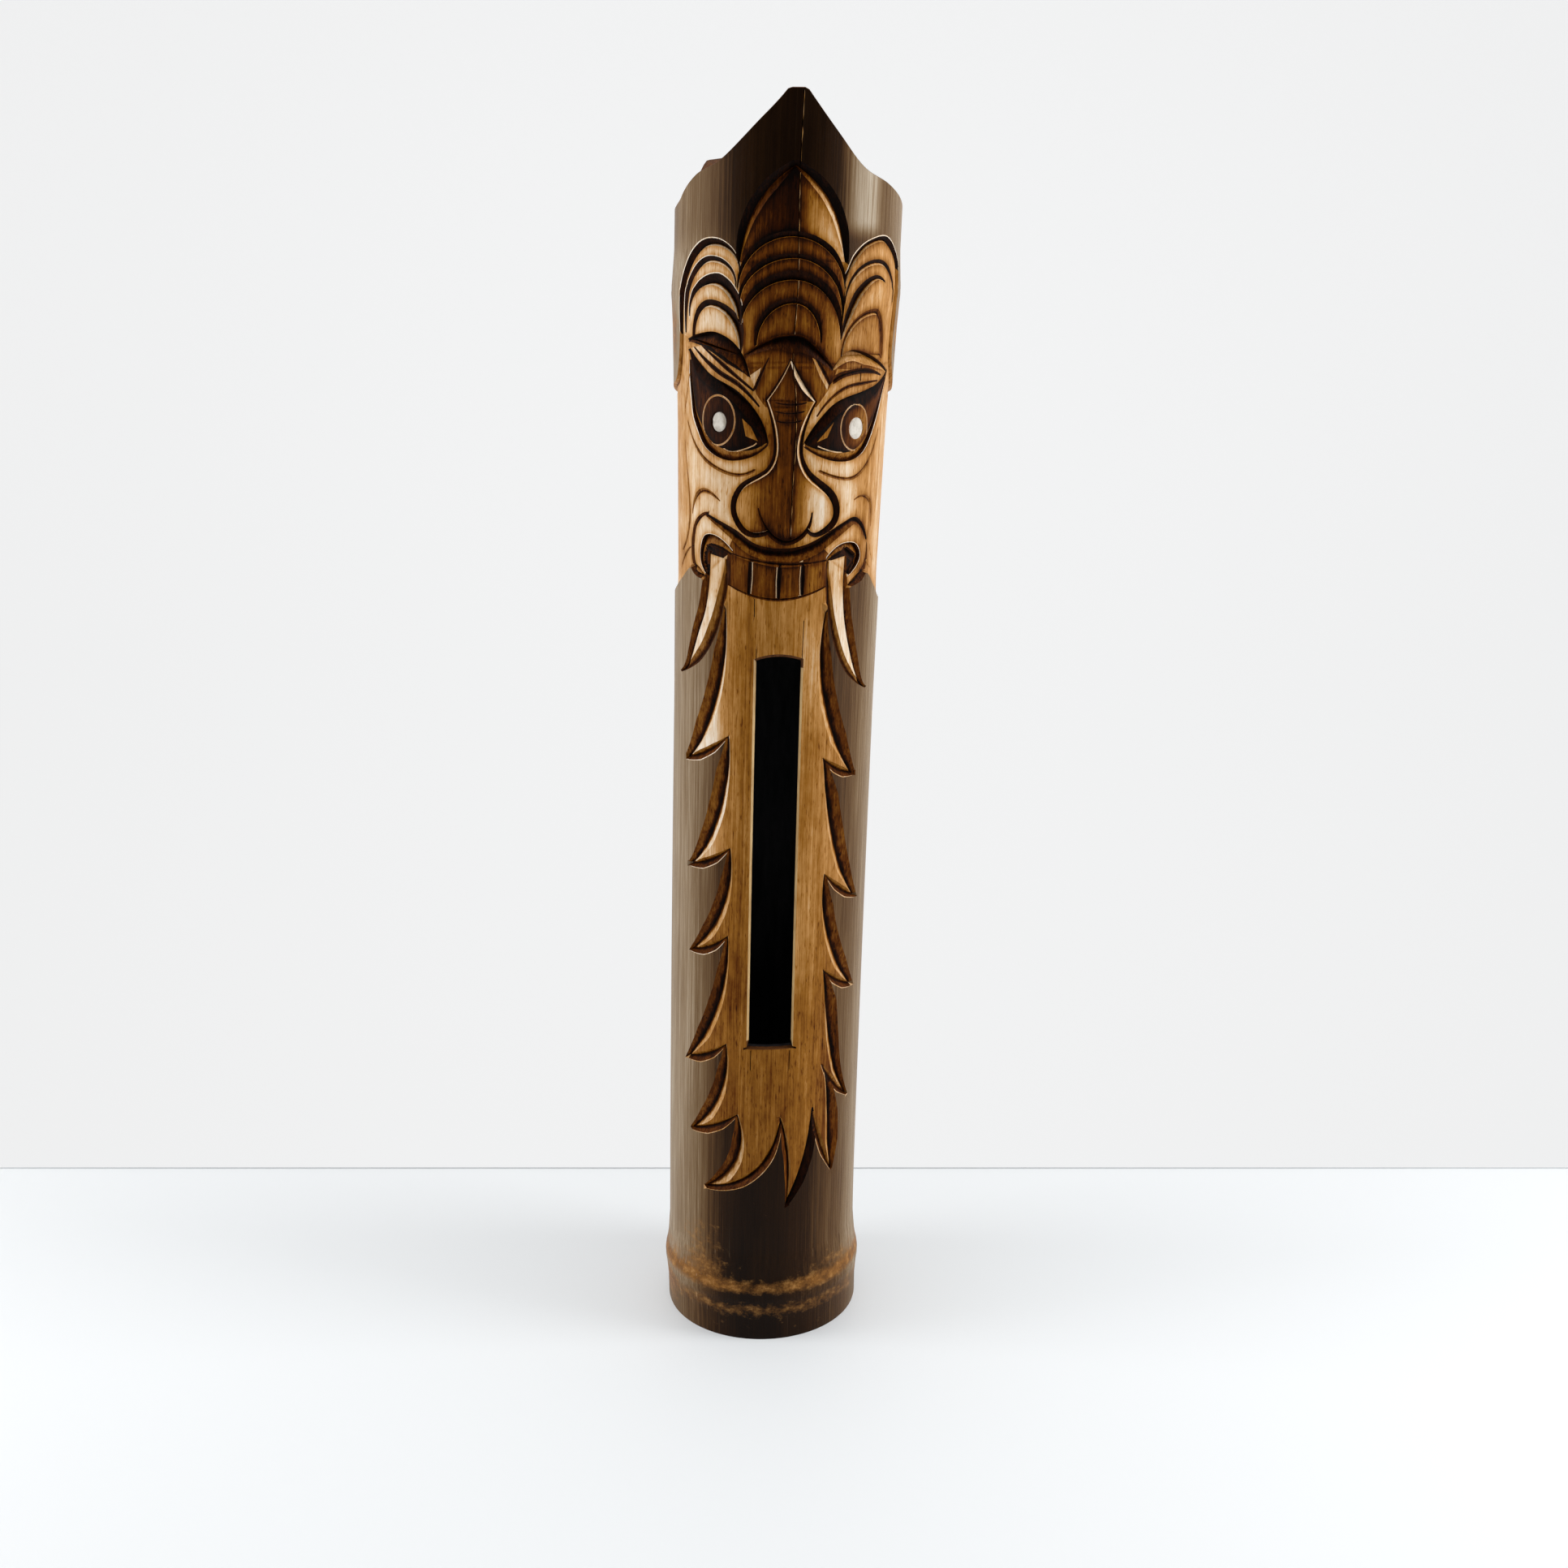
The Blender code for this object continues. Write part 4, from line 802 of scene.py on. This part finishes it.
def boundary_loops(faces):
    """The loops of vertices along the edges that only one face has, the face on their left."""
    after = {}
    for face in faces:
        for a, b in zip(face, (*face[1:], face[0])):
            if after.get(b, {}).pop(a, None) is None:
                after.setdefault(a, {})[b] = True
    loops = []
    while any(after.values()):
        at = start = next(a for a, ends in after.items() if ends)
        loop = []
        while not loop or at != start:
            loop.append(at)
            following = next(iter(after[at]))
            after[at].pop(following)
            at = following
        loops.append(loop)
    return loops


def on_slot_wall(points, radius):
    """The points moved along Y onto the cylinder of the radius, as the slot's walls run."""
    moved = points.copy()
    moved[:, 1] = -np.sqrt(radius**2 - moved[:, 0] ** 2)
    return moved


def skin_sheet(surface):
    """The outside of the culm, carved. Returns its edges at the foot, the slot and the rim."""
    around = np.linspace(-HALF_TURN, HALF_TURN, 129)
    top = [(u, float(rim(u)) - RIM_BEVEL) for u in np.linspace(-HALF_TURN, HALF_TURN, 181)[1:-1]]
    seam = np.linspace(0, float(rim(HALF_TURN)) - RIM_BEVEL, 110)
    seam = np.unique(np.concatenate([seam, [z for z, _ in PROFILE if z < 550]]))
    left, right = ([(side, z) for z in seam] for side in (-HALF_TURN, HALF_TURN))
    border = np.array([*left, *top, *right[::-1], *[(u, 0) for u in around[-2:0:-1]]])
    slot = slot_outline()
    lines = [line for cut in CUTS for line in cut.edges()]
    lines += [closed(outline) for outline, _ in AREAS]
    lines += [np.array([(u, z) for z in np.arange(372.0, 484.0, 4.0)]) for u in (-SIDE_EDGE, SIDE_EDGE)]
    lines += [np.array([(u, z) for u in around]) for z, _ in PROFILE if 0 < z < 50]
    candidates = []
    for step, low, high in ((FACE_FILL, *FACE_HEIGHTS), (FILL, 3, 600)):
        for i, u in enumerate(np.arange(-HALF_TURN + 3, HALF_TURN - 2, step)):
            beside = abs(u - 2)
            gap = step if beside < (FACE_HALF if step == FACE_FILL else FRONT_HALF) else 3 * FILL
            for z in np.arange(low + (i % 2) * gap / 2, min(float(rim(u)) - 2, high), gap):
                in_face = beside < FACE_HALF and FACE_HEIGHTS[0] <= z <= FACE_HEIGHTS[1]
                if in_face == (step == FACE_FILL):
                    candidates.append((u, z))
    fill = clear_of([closed(border), closed(slot), *lines], candidates, CLEARANCE)
    flat, faces = triangulated(border, slot, lines, fill)
    survey = surveyed(flat)
    points = wrapped(flat, skin_radius(flat[:, 1]) + survey["height"])
    middle = flat[faces].mean(axis=1)
    at_faces = surveyed(middle)
    surface.add(points, faces, at_faces["kind"], flat=flat, share=survey["share"],
                bleed=survey["bleed"], stain=at_faces["stain"], area=area_at(middle))
    partner = {round(z, 3): i for i, (u, z) in enumerate(flat) if u < 1e-6 - HALF_TURN}
    seamed = {i: partner[round(z, 3)] for i, (u, z) in enumerate(flat) if u > HALF_TURN - 1e-6}
    loops = boundary_loops([tuple(seamed.get(i, i) for i in face) for face in faces.tolist()])
    loops.sort(key=lambda loop: np.mean([flat[i][1] for i in loop]))
    return [points[loop] for loop in loops]


def at_radius(points, radius):
    """The points moved straight in or out to the radius."""
    moved = points.copy()
    moved[:, :2] *= (radius / np.hypot(moved[:, 0], moved[:, 1]))[:, None]
    return moved


def crown_and_foot(surface, foot_edge, rim_edge):
    """The sawn rim, the hollow over the upper node, the sawn foot and the hollow under it."""
    edge = rim_edge.copy()
    edge[:, 2] += RIM_BEVEL
    last = rim_edge
    bevelled = np.hypot(edge[:, 0], edge[:, 1]) - RIM_BEVEL
    for radius, drop in ((bevelled, 0), (CROWN_BORE + 0.5, 0), (CROWN_BORE, 0.5)):
        row = at_radius(edge, radius)
        row[:, 2] -= drop
        surface.strip(last, row, SAWN)
        last = row
    wall = last
    floor = CROWN_NODE + DIAPHRAGM / 2
    for share in (0.25, 0.5, 0.75, 1):
        row = wall.copy()
        row[:, 2] = wall[:, 2] + (floor + 10 - wall[:, 2]) * share
        surface.strip(last, row, HOLLOW)
        last = row
    surface.turned(last, (41.6, floor + 4, HOLLOW), (38, floor + 0.6, HOLLOW), (34, floor, HOLLOW))
    roof = FOOT_NODE - DIAPHRAGM / 2
    surface.turned(
        foot_edge,
        (FOOT_BORE + 0.4, 0, SAWN),
        (FOOT_BORE, 0.5, BARE),
        (FOOT_BORE, roof - 9, HOLLOW),
        (38, roof - 3, HOLLOW),
        (34, roof, HOLLOW),
    )


def sounding_chamber(surface, slot_edge):
    """The slot's walls and the hollow between the nodes."""
    shoulder = slot_edge.copy()
    across = shoulder[:, 0] + SLOT_LEAN * (shoulder[:, 2] - SLOT_BOTTOM) - SLOT_CENTRE
    flare = np.clip(np.abs(across) - SLOT_WIDTH / 2, 0, SLOT_BEVEL)
    notch = shoulder[:, 2] < SLOT_BOTTOM + 1.2
    shoulder[:, 0] -= np.where(notch, 0.3, 1) * np.sign(across) * flare
    shoulder[:, 2] -= np.clip(shoulder[:, 2] - SLOT_TOP, 0, 1.3)
    shoulder[:, 1] += 1.3
    ends = (slot_edge[:, 2] > SLOT_TOP - 1) | (slot_edge[:, 2] < SLOT_BOTTOM + 1.5)
    surface.strip(slot_edge, shoulder, np.where(ends, SAWN, BARE))
    inner = on_slot_wall(shoulder, BORE_RADIUS)
    midway = (shoulder + inner) / 2
    surface.strip(shoulder, midway, SAWN)
    surface.strip(midway, inner, HOLLOW)
    hole = np.stack([UNROLLED_RADIUS * np.arctan2(inner[:, 0], -inner[:, 1]), inner[:, 2]], axis=1)
    low, high = FOOT_NODE + DIAPHRAGM / 2, CROWN_NODE - DIAPHRAGM / 2
    around = np.linspace(-HALF_TURN, HALF_TURN, 97)
    rows = np.linspace(low + 8, high - 8, 24)
    border = [(-HALF_TURN, z) for z in rows] + [(u, rows[-1]) for u in around[1:-1]]
    border += [(HALF_TURN, z) for z in rows[::-1]] + [(u, rows[0]) for u in around[-2:0:-1]]
    fill = clear_of([closed(hole)], [(u, z) for u in around[1:-1] for z in rows[1:-1]], 2)
    flat, faces = triangulated(np.array(border), hole, [], fill)
    surface.add(wrapped(flat, BORE_RADIUS), faces[:, ::-1], HOLLOW)
    for z, end, way in ((rows[0], low, -1), (rows[-1], high, 1)):
        ring_points = wrapped(np.array([(u, z) for u in around[:-1]]), BORE_RADIUS)[::way]
        surface.turned(ring_points, (BORE_RADIUS - 6, end, HOLLOW))


def browned(u, z):
    """How brown the varnished wood is outside the named areas, with a painted highlight in the cream of the
    cheeks either side of the nose.
    """
    beard = 0.51 + 0.02 * (1 - rise(u, -6, 16)) + 0.12 * (1 - rise(u, -18, -4)) * bump(z, 212, 60)
    beard += 0.08 * bump(u, -15, 6) + 0.14 * (1 - rise(z, 130, 225))
    beard -= (1 - rise(u, -31, -24)) * (0.42 * rise(z, 284, 312) + 0.26 * bump(z, 258, 34))
    beard += 0.12 * rise(u, 26, 36) * (1 - rise(z, 180, 250))
    beard -= 0.1 * bump(u, 20, 12) * bump(z, 342, 40)
    # The cream of the cheeks between their tan outer parts is partly pale wood and partly a painted
    # highlight.
    cheek = 0.22 + 0.18 * (1 - rise(u, -56, -46)) + 0.22 * rise(u, 36, 44) - 0.12 * rise(u, 56, 64)
    cheek += (0.34 - 0.34 * rise(u, 2, 12)) * bump(np.abs(u - 3), 6, 14)
    cheek -= 0.08 * bump(z, 414, 12) * (1 - rise(u, -4, 8))
    brow = 0.34 + 0.04 * rise(u, -4, 8)
    face = cheek + (brow - cheek) * rise(z, 462, 474)
    return beard + (face - beard) * rise(z, 380, 392)


def stain_and_painted_sheen(u, z):
    """How light the skin is: its own dark brown stain, darkened in front by painted shade and lightened
    towards the sides by painted sheen, with a painted highlight on the crown to the right of the front.
    """
    # Painted shade makes the front nearly black and painted sheen lightens the sides.
    around = (-157, -96, -72, -60, -45, -36, -25, -8, 8, 25, 36, 45, 60, 72, 96, 157)
    levels = (0.5, 0.55, 0.92, 1, 0.92, 0.74, 0.36, 0.04, 0.04, 0.26, 0.46, 0.54, 0.92, 0.94, 0.5, 0.45)
    light = np.interp(u, around, levels)
    light = light * (1 - 0.3 * (1 - rise(z, 14, 26)))
    crown_left = (1 - rise(u, -24, -8)) * rise(np.abs(z - 420), 110, 128) * rise(z, 400, 500)
    # The added bump is a painted highlight on the crown to the right of the front.
    return light * (1 - 0.2 * crown_left) + 0.85 * bump(u, 35, 15) * rise(z, 538, 548)


def worn(u, z):
    """How far the stained skin has worn back to tan."""
    upper = 0.8 * rise(np.abs(u - 2), 58, 68) * bump(z, 502, 24)
    foot = (0.56 + 0.26 * rise(np.abs(u - 2), 4, 26)) * bump(z, 29.4, 5.6) + 0.46 * bump(z, 17, 7.5)
    foot += 0.6 * (1 - rise(u, -64, -46)) * bump(z, 16, 16)
    scuffed = 0.36 * bump(u, -34, 26) * bump(z, 50, 26)
    scuffed += (0.12 + 0.3 * rise(np.abs(u - 4), 12, 38)) * bump(z, 36, 9) + 0.12 * bump(z, 6, 8)
    return np.clip(upper + foot + scuffed, 0, 1)


def whole_culm():
    """The culm's faces, and values at its points and at its faces."""
    surface = Surface()
    foot_edge, slot_edge, rim_edge = skin_sheet(surface)
    crown_and_foot(surface, foot_edge, rim_edge)
    sounding_chamber(surface, slot_edge)
    at_points = {name: np.concatenate(values) for name, values in surface.at_points.items()}
    at_faces = {name: np.concatenate(values) for name, values in surface.at_faces.items()}
    _, first, index = np.unique(
        np.round(at_points["straight"], 2), axis=0, return_index=True, return_inverse=True
    )
    index = index.reshape(-1)
    faces, kept = [], []
    for i, face in enumerate(surface.faces):
        corners = tuple(dict.fromkeys(int(index[j]) for j in face))
        if len(corners) > 2:
            faces.append(corners)
            kept.append(i)
    at_points = {name: values[first] for name, values in at_points.items()}
    return faces, at_points, {name: values[kept] for name, values in at_faces.items()}


def corner_tones(faces, at_points, at_faces):
    """How brown the wood is at every face's corners, and how much browner along a cut's bottom."""
    face = np.repeat(np.arange(len(faces)), [len(corners) for corners in faces])
    point = np.concatenate(faces)
    u, z = at_points["flat"][point].T
    tone = browned(u, z)
    area = at_faces["area"][face]
    for i, (outline, tones) in enumerate(AREAS):
        ends = np.linspace(outline[:, 0].min(), outline[:, 0].max(), len(tones))
        tone[area == i] = np.interp(u[area == i], ends, tones)
    edge, bottom = at_faces["stain"][face].T
    carved = ~np.isnan(edge)
    own = np.where(edge < 0, tone + edge, edge)
    deeper = np.where(carved, bottom - own, 0.0)
    return np.where(carved, own, tone + at_points["bleed"][point]), deeper


def bowed(straight):
    """The culm bowed towards +X, its footprint centred as the solid's is."""
    points = straight.copy()
    above = np.maximum(points[:, 2] - UPRIGHT_BELOW, 0.0)
    points[:, 0] += DRIFT * (above / (RIM_POINT - UPRIGHT_BELOW)) ** 1.2
    low, high = (np.array(corner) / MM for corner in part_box(NODE))
    for axis in (0, 1):
        middle = (points[:, axis].min() + points[:, axis].max()) / 2
        points[:, axis] += (low[axis] + high[axis]) / 2 - middle
    points[:, 2] += low[2]
    return points * MM


# Materials.


def linear(red, green, blue):
    """A colour given in 0-255 display values as linear light."""
    values = []
    for level in (red, green, blue):
        c = level / 255
        values.append(c / 12.92 if c <= 0.04045 else ((c + 0.055) / 1.055) ** 2.4)
    return (*values, 1.0)


class Nodes:
    """A material's node tree, built a node at a time."""

    def __init__(self, name):
        self.material = bpy.data.materials.new(name)
        self.material.use_nodes = True
        self.tree = self.material.node_tree
        self.shader = next(node for node in self.tree.nodes if node.type == "BSDF_PRINCIPLED")

    def add(self, kind, settings=None, **inputs):
        """A new node. An input's key is its name, or its number after an underscore."""
        node = self.tree.nodes.new(kind)
        for key, value in (settings or {}).items():
            setattr(node, key, value)
        for key, value in inputs.items():
            self.feed(node.inputs[int(key[1:]) if key[0] == "_" else key], value)
        return node

    def feed(self, socket, value):
        if isinstance(value, bpy.types.NodeSocket):
            self.tree.links.new(value, socket)
        else:
            socket.default_value = value

    def attribute(self, name, output="Fac"):
        return self.add("ShaderNodeAttribute", {"attribute_name": name}).outputs[output]

    def math(self, operation, a, b):
        return self.add("ShaderNodeMath", {"operation": operation}, _0=a, _1=b).outputs[0]

    def spread(self, value, low, high, to_low=0.0, to_high=1.0, **settings):
        """The value's range low to high mapped onto the range to_low to to_high, and held there."""
        node = self.add("ShaderNodeMapRange", settings, _0=value, _1=low, _2=high, _3=to_low, _4=to_high)
        return node.outputs[0]

    def noise(self, stretch, scale, detail, roughness=0.55):
        """Noise on the straight culm, stretched along it: the place is in units of 10 mm."""
        place = self.attribute("straight", "Vector")
        moved = self.add("ShaderNodeMapping", _0=place, _3=(1.0, 1.0, stretch)).outputs[0]
        settings = {"Vector": moved, "Scale": scale, "Detail": detail, "Roughness": roughness}
        return self.add("ShaderNodeTexNoise", **settings).outputs[0]

    def ramp(self, value, *stops):
        """The value as a colour, between stops of a position and a display colour."""
        node = self.add("ShaderNodeValToRGB", _0=value)
        elements = node.color_ramp.elements
        while len(elements) < len(stops):
            elements.new(0.5)
        for element, (position, colour) in zip(elements, stops):
            element.position = position
            element.color = linear(*colour)
        return node.outputs[0]

    def blend(self, share, first, second):
        return self.add("ShaderNodeMix", {"data_type": "RGBA"}, _0=share, _6=first, _7=second).outputs[2]

    def bump(self, height, strength, distance):
        return self.add("ShaderNodeBump", Strength=strength, Distance=distance, Height=height).outputs[0]

    def finish(self, **sockets):
        for name, value in sockets.items():
            self.feed(self.shader.inputs[name.replace("_", " ")], value)
        return self.material


WHITE = (1.0, 1.0, 1.0, 1.0)
BLACKEST = 1.25  # the tone at the dark end of the wood's colours
LIGHTEST = 1.4  # the lightness at the light end of the skin's colours
WOOD_COLOURS = (
    (0.0, (240, 226, 208)),
    (0.16, (222, 189, 148)),
    (0.32, (192, 137, 70)),
    (0.48, (150, 95, 18)),
    (0.64, (98, 50, 8)),
    (0.8, (46, 18, 3)),
    (1.0, (12, 5, 3)),
)
# The skin's colours run from its dark stain up to the pale taupe of the painted sheen and the painted crown
# highlight.
SKIN_STAIN_AND_SHEEN_COLOURS = (
    (0.0, (22, 9, 1)),
    (0.18, (44, 24, 6)),
    (0.36, (87, 59, 31)),
    (0.54, (116, 90, 60)),
    (0.72, (148, 126, 99)),
    (1.0, (196, 182, 162)),
)
FLOOR_END = 0.134  # metres behind the drum's centre
JOINT_HEIGHT = 0.0009


def wood_material():
    """Varnished bamboo wood and the stained cuts in it: long fibres, dark flecks and soft blotches."""
    nodes = Nodes("carved_bamboo")
    fibres = nodes.noise(0.03, 4.0, 6.0, 0.7)
    hairs = nodes.noise(0.02, 15.0, 3.0, 0.7)
    blotches = nodes.noise(0.35, 0.6, 3.0)
    mottle = nodes.noise(0.45, 3.4, 5.0, 0.65)
    flecks = nodes.spread(nodes.noise(0.14, 13.0, 2.0), 0.6, 0.72, 0.0, 0.2)
    share = nodes.math("ADD", nodes.attribute("share"), nodes.spread(mottle, 0.3, 0.7, -0.1, 0.1))
    bottom = nodes.spread(share, 0.45, 0.92, interpolation_type="SMOOTHSTEP")
    deeper = nodes.math("MULTIPLY", nodes.attribute("deeper"), bottom)
    tone = nodes.math("ADD", nodes.attribute("tone"), deeper)
    for part in (
        nodes.spread(fibres, 0.25, 0.75, -0.12, 0.12),
        nodes.spread(hairs, 0.3, 0.7, -0.1, 0.1),
        nodes.spread(blotches, 0.3, 0.7, -0.06, 0.07),
        nodes.spread(mottle, 0.3, 0.7, -0.06, 0.06),
        flecks,
    ):
        tone = nodes.math("ADD", tone, part)
    colour = nodes.ramp(nodes.math("DIVIDE", tone, BLACKEST), *WOOD_COLOURS)
    height = nodes.math("ADD", nodes.math("MULTIPLY", fibres, 0.6), nodes.math("MULTIPLY", hairs, 0.3))
    return nodes.finish(
        Base_Color=colour,
        Roughness=nodes.spread(mottle, 0.3, 0.7, 0.4, 0.56),
        Specular_IOR_Level=nodes.spread(tone, 0.2, 0.8, 0.35, 0.04),
        Normal=nodes.bump(height, 0.4, 0.0005),
    )


def skin_material():
    """The stained and varnished skin, painted darker in front as shade and lighter at the sides as sheen,
    worn to tan at the nodes.
    """
    nodes = Nodes("stained_skin_and_painted_sheen")
    streaks = nodes.noise(0.012, 11.0, 7.0, 0.8)
    clouds = nodes.noise(0.2, 0.5, 4.0)
    grit = nodes.noise(1.4, 1.6, 9.0, 0.75)
    scratches = nodes.noise(0.003, 11.0, 2.0)
    # The light attribute holds painted shade and painted sheen as well as the stain.
    light = nodes.attribute("light")
    swing = nodes.spread(light, 0.0, 0.8, 0.14, 0.6)
    streaked = nodes.math("MULTIPLY", swing, nodes.spread(streaks, 0.35, 0.65, -0.42, 0.42))
    light = nodes.math("ADD", light, streaked)
    light = nodes.math("ADD", light, nodes.spread(clouds, 0.3, 0.7, -0.1, 0.1))
    base = nodes.ramp(nodes.math("DIVIDE", light, LIGHTEST), *SKIN_STAIN_AND_SHEEN_COLOURS)
    rubbed = nodes.math("ADD", nodes.attribute("worn"), nodes.spread(grit, 0.3, 0.7, -0.3, 0.3))
    tan = nodes.ramp(grit, (0.3, (84, 50, 20)), (0.52, (136, 90, 40)), (0.7, (184, 136, 78)))
    colour = nodes.blend(nodes.spread(rubbed, 0.25, 0.8), base, tan)
    hairs = nodes.math("MULTIPLY", nodes.spread(scratches, 0.68, 0.73, 0.0, 0.6), nodes.attribute("light"))
    return nodes.finish(
        Base_Color=nodes.blend(hairs, colour, linear(176, 150, 120)),
        Roughness=nodes.spread(clouds, 0.3, 0.7, 0.34, 0.46),
        Specular_IOR_Level=0.08,
        Normal=nodes.bump(streaks, 0.35, 0.0004),
    )


def plain_material(name, noise, dark, light, bump, **sockets):
    """One noise as a colour between a dark and a light stop, and as a slight relief."""
    nodes = Nodes(name)
    grain = nodes.noise(*noise)
    colour = nodes.ramp(grain, dark, light)
    return nodes.finish(Base_Color=colour, Normal=nodes.bump(grain, *bump), **sockets)


def plain_materials():
    """The paint of the pupils, the inside painted dark as shade, the sawn walls, and the edges no stain has
    reached.
    """
    return [
        plain_material("white_pupil", (0.7, 4.0, 5.0, 0.6), (0.3, (170, 158, 142)), (0.55, (214, 207, 196)),
                       (0.3, 0.0004), Roughness=0.5),
        # The hollow's dark grey is painted shade.
        plain_material("hollow_painted_shade", (0.15, 2.0, 4.0), (0.3, (22, 22, 24)), (0.7, (50, 48, 50)),
                       (0.3, 0.0006), Roughness=0.7, Specular_IOR_Level=0.2),
        plain_material("sawn_bamboo", (0.6, 7.0, 5.0, 0.7), (0.3, (52, 28, 12)), (0.7, (112, 68, 32)),
                       (0.4, 0.0005), Roughness=0.55, Specular_IOR_Level=0.15),
        plain_material("bare_edge", (0.1, 6.0, 5.0, 0.7), (0.3, (168, 124, 66)), (0.65, (220, 186, 130)),
                       (0.3, 0.0004), Roughness=0.45),
    ]


def studio_material(name, colour, roughness, glow=0.0):
    return Nodes(name).finish(
        Base_Color=linear(*colour), Roughness=roughness, Emission_Color=WHITE, Emission_Strength=glow
    )


# The drum.


def linked(name, data):
    """A new object with the data, in the scene."""
    made = bpy.data.objects.new(name, data)
    bpy.context.scene.collection.objects.link(made)
    return made


def add_drum():
    faces, at_points, at_faces = whole_culm()
    mesh = bpy.data.meshes.new("carved_culm")
    mesh.from_pydata(bowed(at_points["straight"]).tolist(), [], faces)
    for material in (skin_material(), wood_material(), *plain_materials()):
        mesh.materials.append(material)
    mesh.polygons.foreach_set("material_index", at_faces["kind"])
    u, z = at_points["flat"].T
    tone, deeper = corner_tones(faces, at_points, at_faces)
    for name, kind, domain, values in (
        ("share", "FLOAT", "POINT", at_points["share"]),
        # light is the skin's stain with painted shade in front, painted sheen at the sides and a painted
        # highlight on the crown.
        ("light", "FLOAT", "POINT", stain_and_painted_sheen(u, z)),
        ("worn", "FLOAT", "POINT", worn(u, z)),
        # tone is the wood's colour, including the painted highlights on the cheeks, the nose and beside the
        # teeth gaps.
        ("tone", "FLOAT", "CORNER", tone),
        ("deeper", "FLOAT", "CORNER", deeper),
        ("straight", "FLOAT_VECTOR", "POINT", at_points["straight"] / 10),
    ):
        layer = mesh.attributes.new(name, kind, domain)
        field = "value" if kind == "FLOAT" else "vector"
        layer.data.foreach_set(field, values.astype(np.float32).ravel())
    mesh.shade_smooth()
    mesh.set_sharp_from_angle(angle=math.radians(26))
    drum = linked("carved_culm", mesh)
    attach(drum, "root")
    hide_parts(NODE)


# The studio.


def add_panel(name, corners, material):
    mesh = bpy.data.meshes.new(name)
    mesh.from_pydata(corners, [], [(0, 1, 2, 3)])
    mesh.materials.append(material)
    linked(name, mesh)


def upright(y, side, low, high):
    """The corners of an upright panel that faces the drum."""
    return [(-side, y, low), (side, y, low), (side, y, high), (-side, y, high)]


def add_softbox(name, place, target, width, height, power):
    light = bpy.data.lights.new(name, "AREA")
    light.shape = "RECTANGLE"
    light.size = width
    light.size_y = height
    light.energy = power
    box = linked(name, light)
    box.location = place
    box.rotation_euler = (Vector(target) - Vector(place)).to_track_quat("-Z", "Y").to_euler()


def add_studio():
    """A floor that ends behind the drum, the line between floor and wall, and a far, deep wall.

    The wall stands so far back that the drum can be seen from behind too.
    """
    floor = studio_material("studio_floor", (204, 207, 209), 0.6, 0.19)
    wall = studio_material("studio_wall", (149, 152, 154), 0.7, 0.77)
    joint = studio_material("floor_joint", (208, 211, 213), 0.8)
    side, front = 3.0, -3.5
    ground = [(-side, front, 0), (side, front, 0), (side, FLOOR_END, 0), (-side, FLOOR_END, 0)]
    add_panel("floor", ground, floor)
    add_panel("wall", upright(y=2.2, side=12, low=-10, high=8), wall)
    add_panel("floor_joint", upright(FLOOR_END - 0.0005, side, 0, JOINT_HEIGHT), joint)
    mask = (0, 0, 0.36)
    add_softbox("left_softbox", (-0.9, -0.1, 0.5), mask, width=0.36, height=1.1, power=4.6)
    add_softbox("right_softbox", (0.9, -0.16, 0.6), mask, width=0.36, height=1.1, power=6.0)
    add_softbox("top_softbox", (0.15, -0.22, 1.5), (0.15, -0.2, 0), width=2.8, height=0.6, power=14.5)
    world = bpy.data.worlds.new("studio_air")
    world.use_nodes = True
    background = next(node for node in world.node_tree.nodes if node.type == "BACKGROUND")
    background.inputs["Color"].default_value = WHITE
    background.inputs["Strength"].default_value = 0.24
    world.cycles_visibility.glossy = False
    bpy.context.scene.world = world
    bpy.context.scene.view_settings.view_transform = "Standard"


def add_camera():
    lens = bpy.data.cameras.new("studio_camera")
    lens.lens = 36.0
    lens.sensor_width = 36.0
    lens.sensor_fit = "HORIZONTAL"
    lens.clip_start = 0.05
    camera = linked("studio_camera", lens)
    camera.location = (0.0047, -0.7682, 0.4725)
    camera.rotation_euler = (math.radians(90 - 13.87), 0.0, 0.0)
    bpy.context.scene.camera = camera


add_drum()
add_studio()
add_camera()
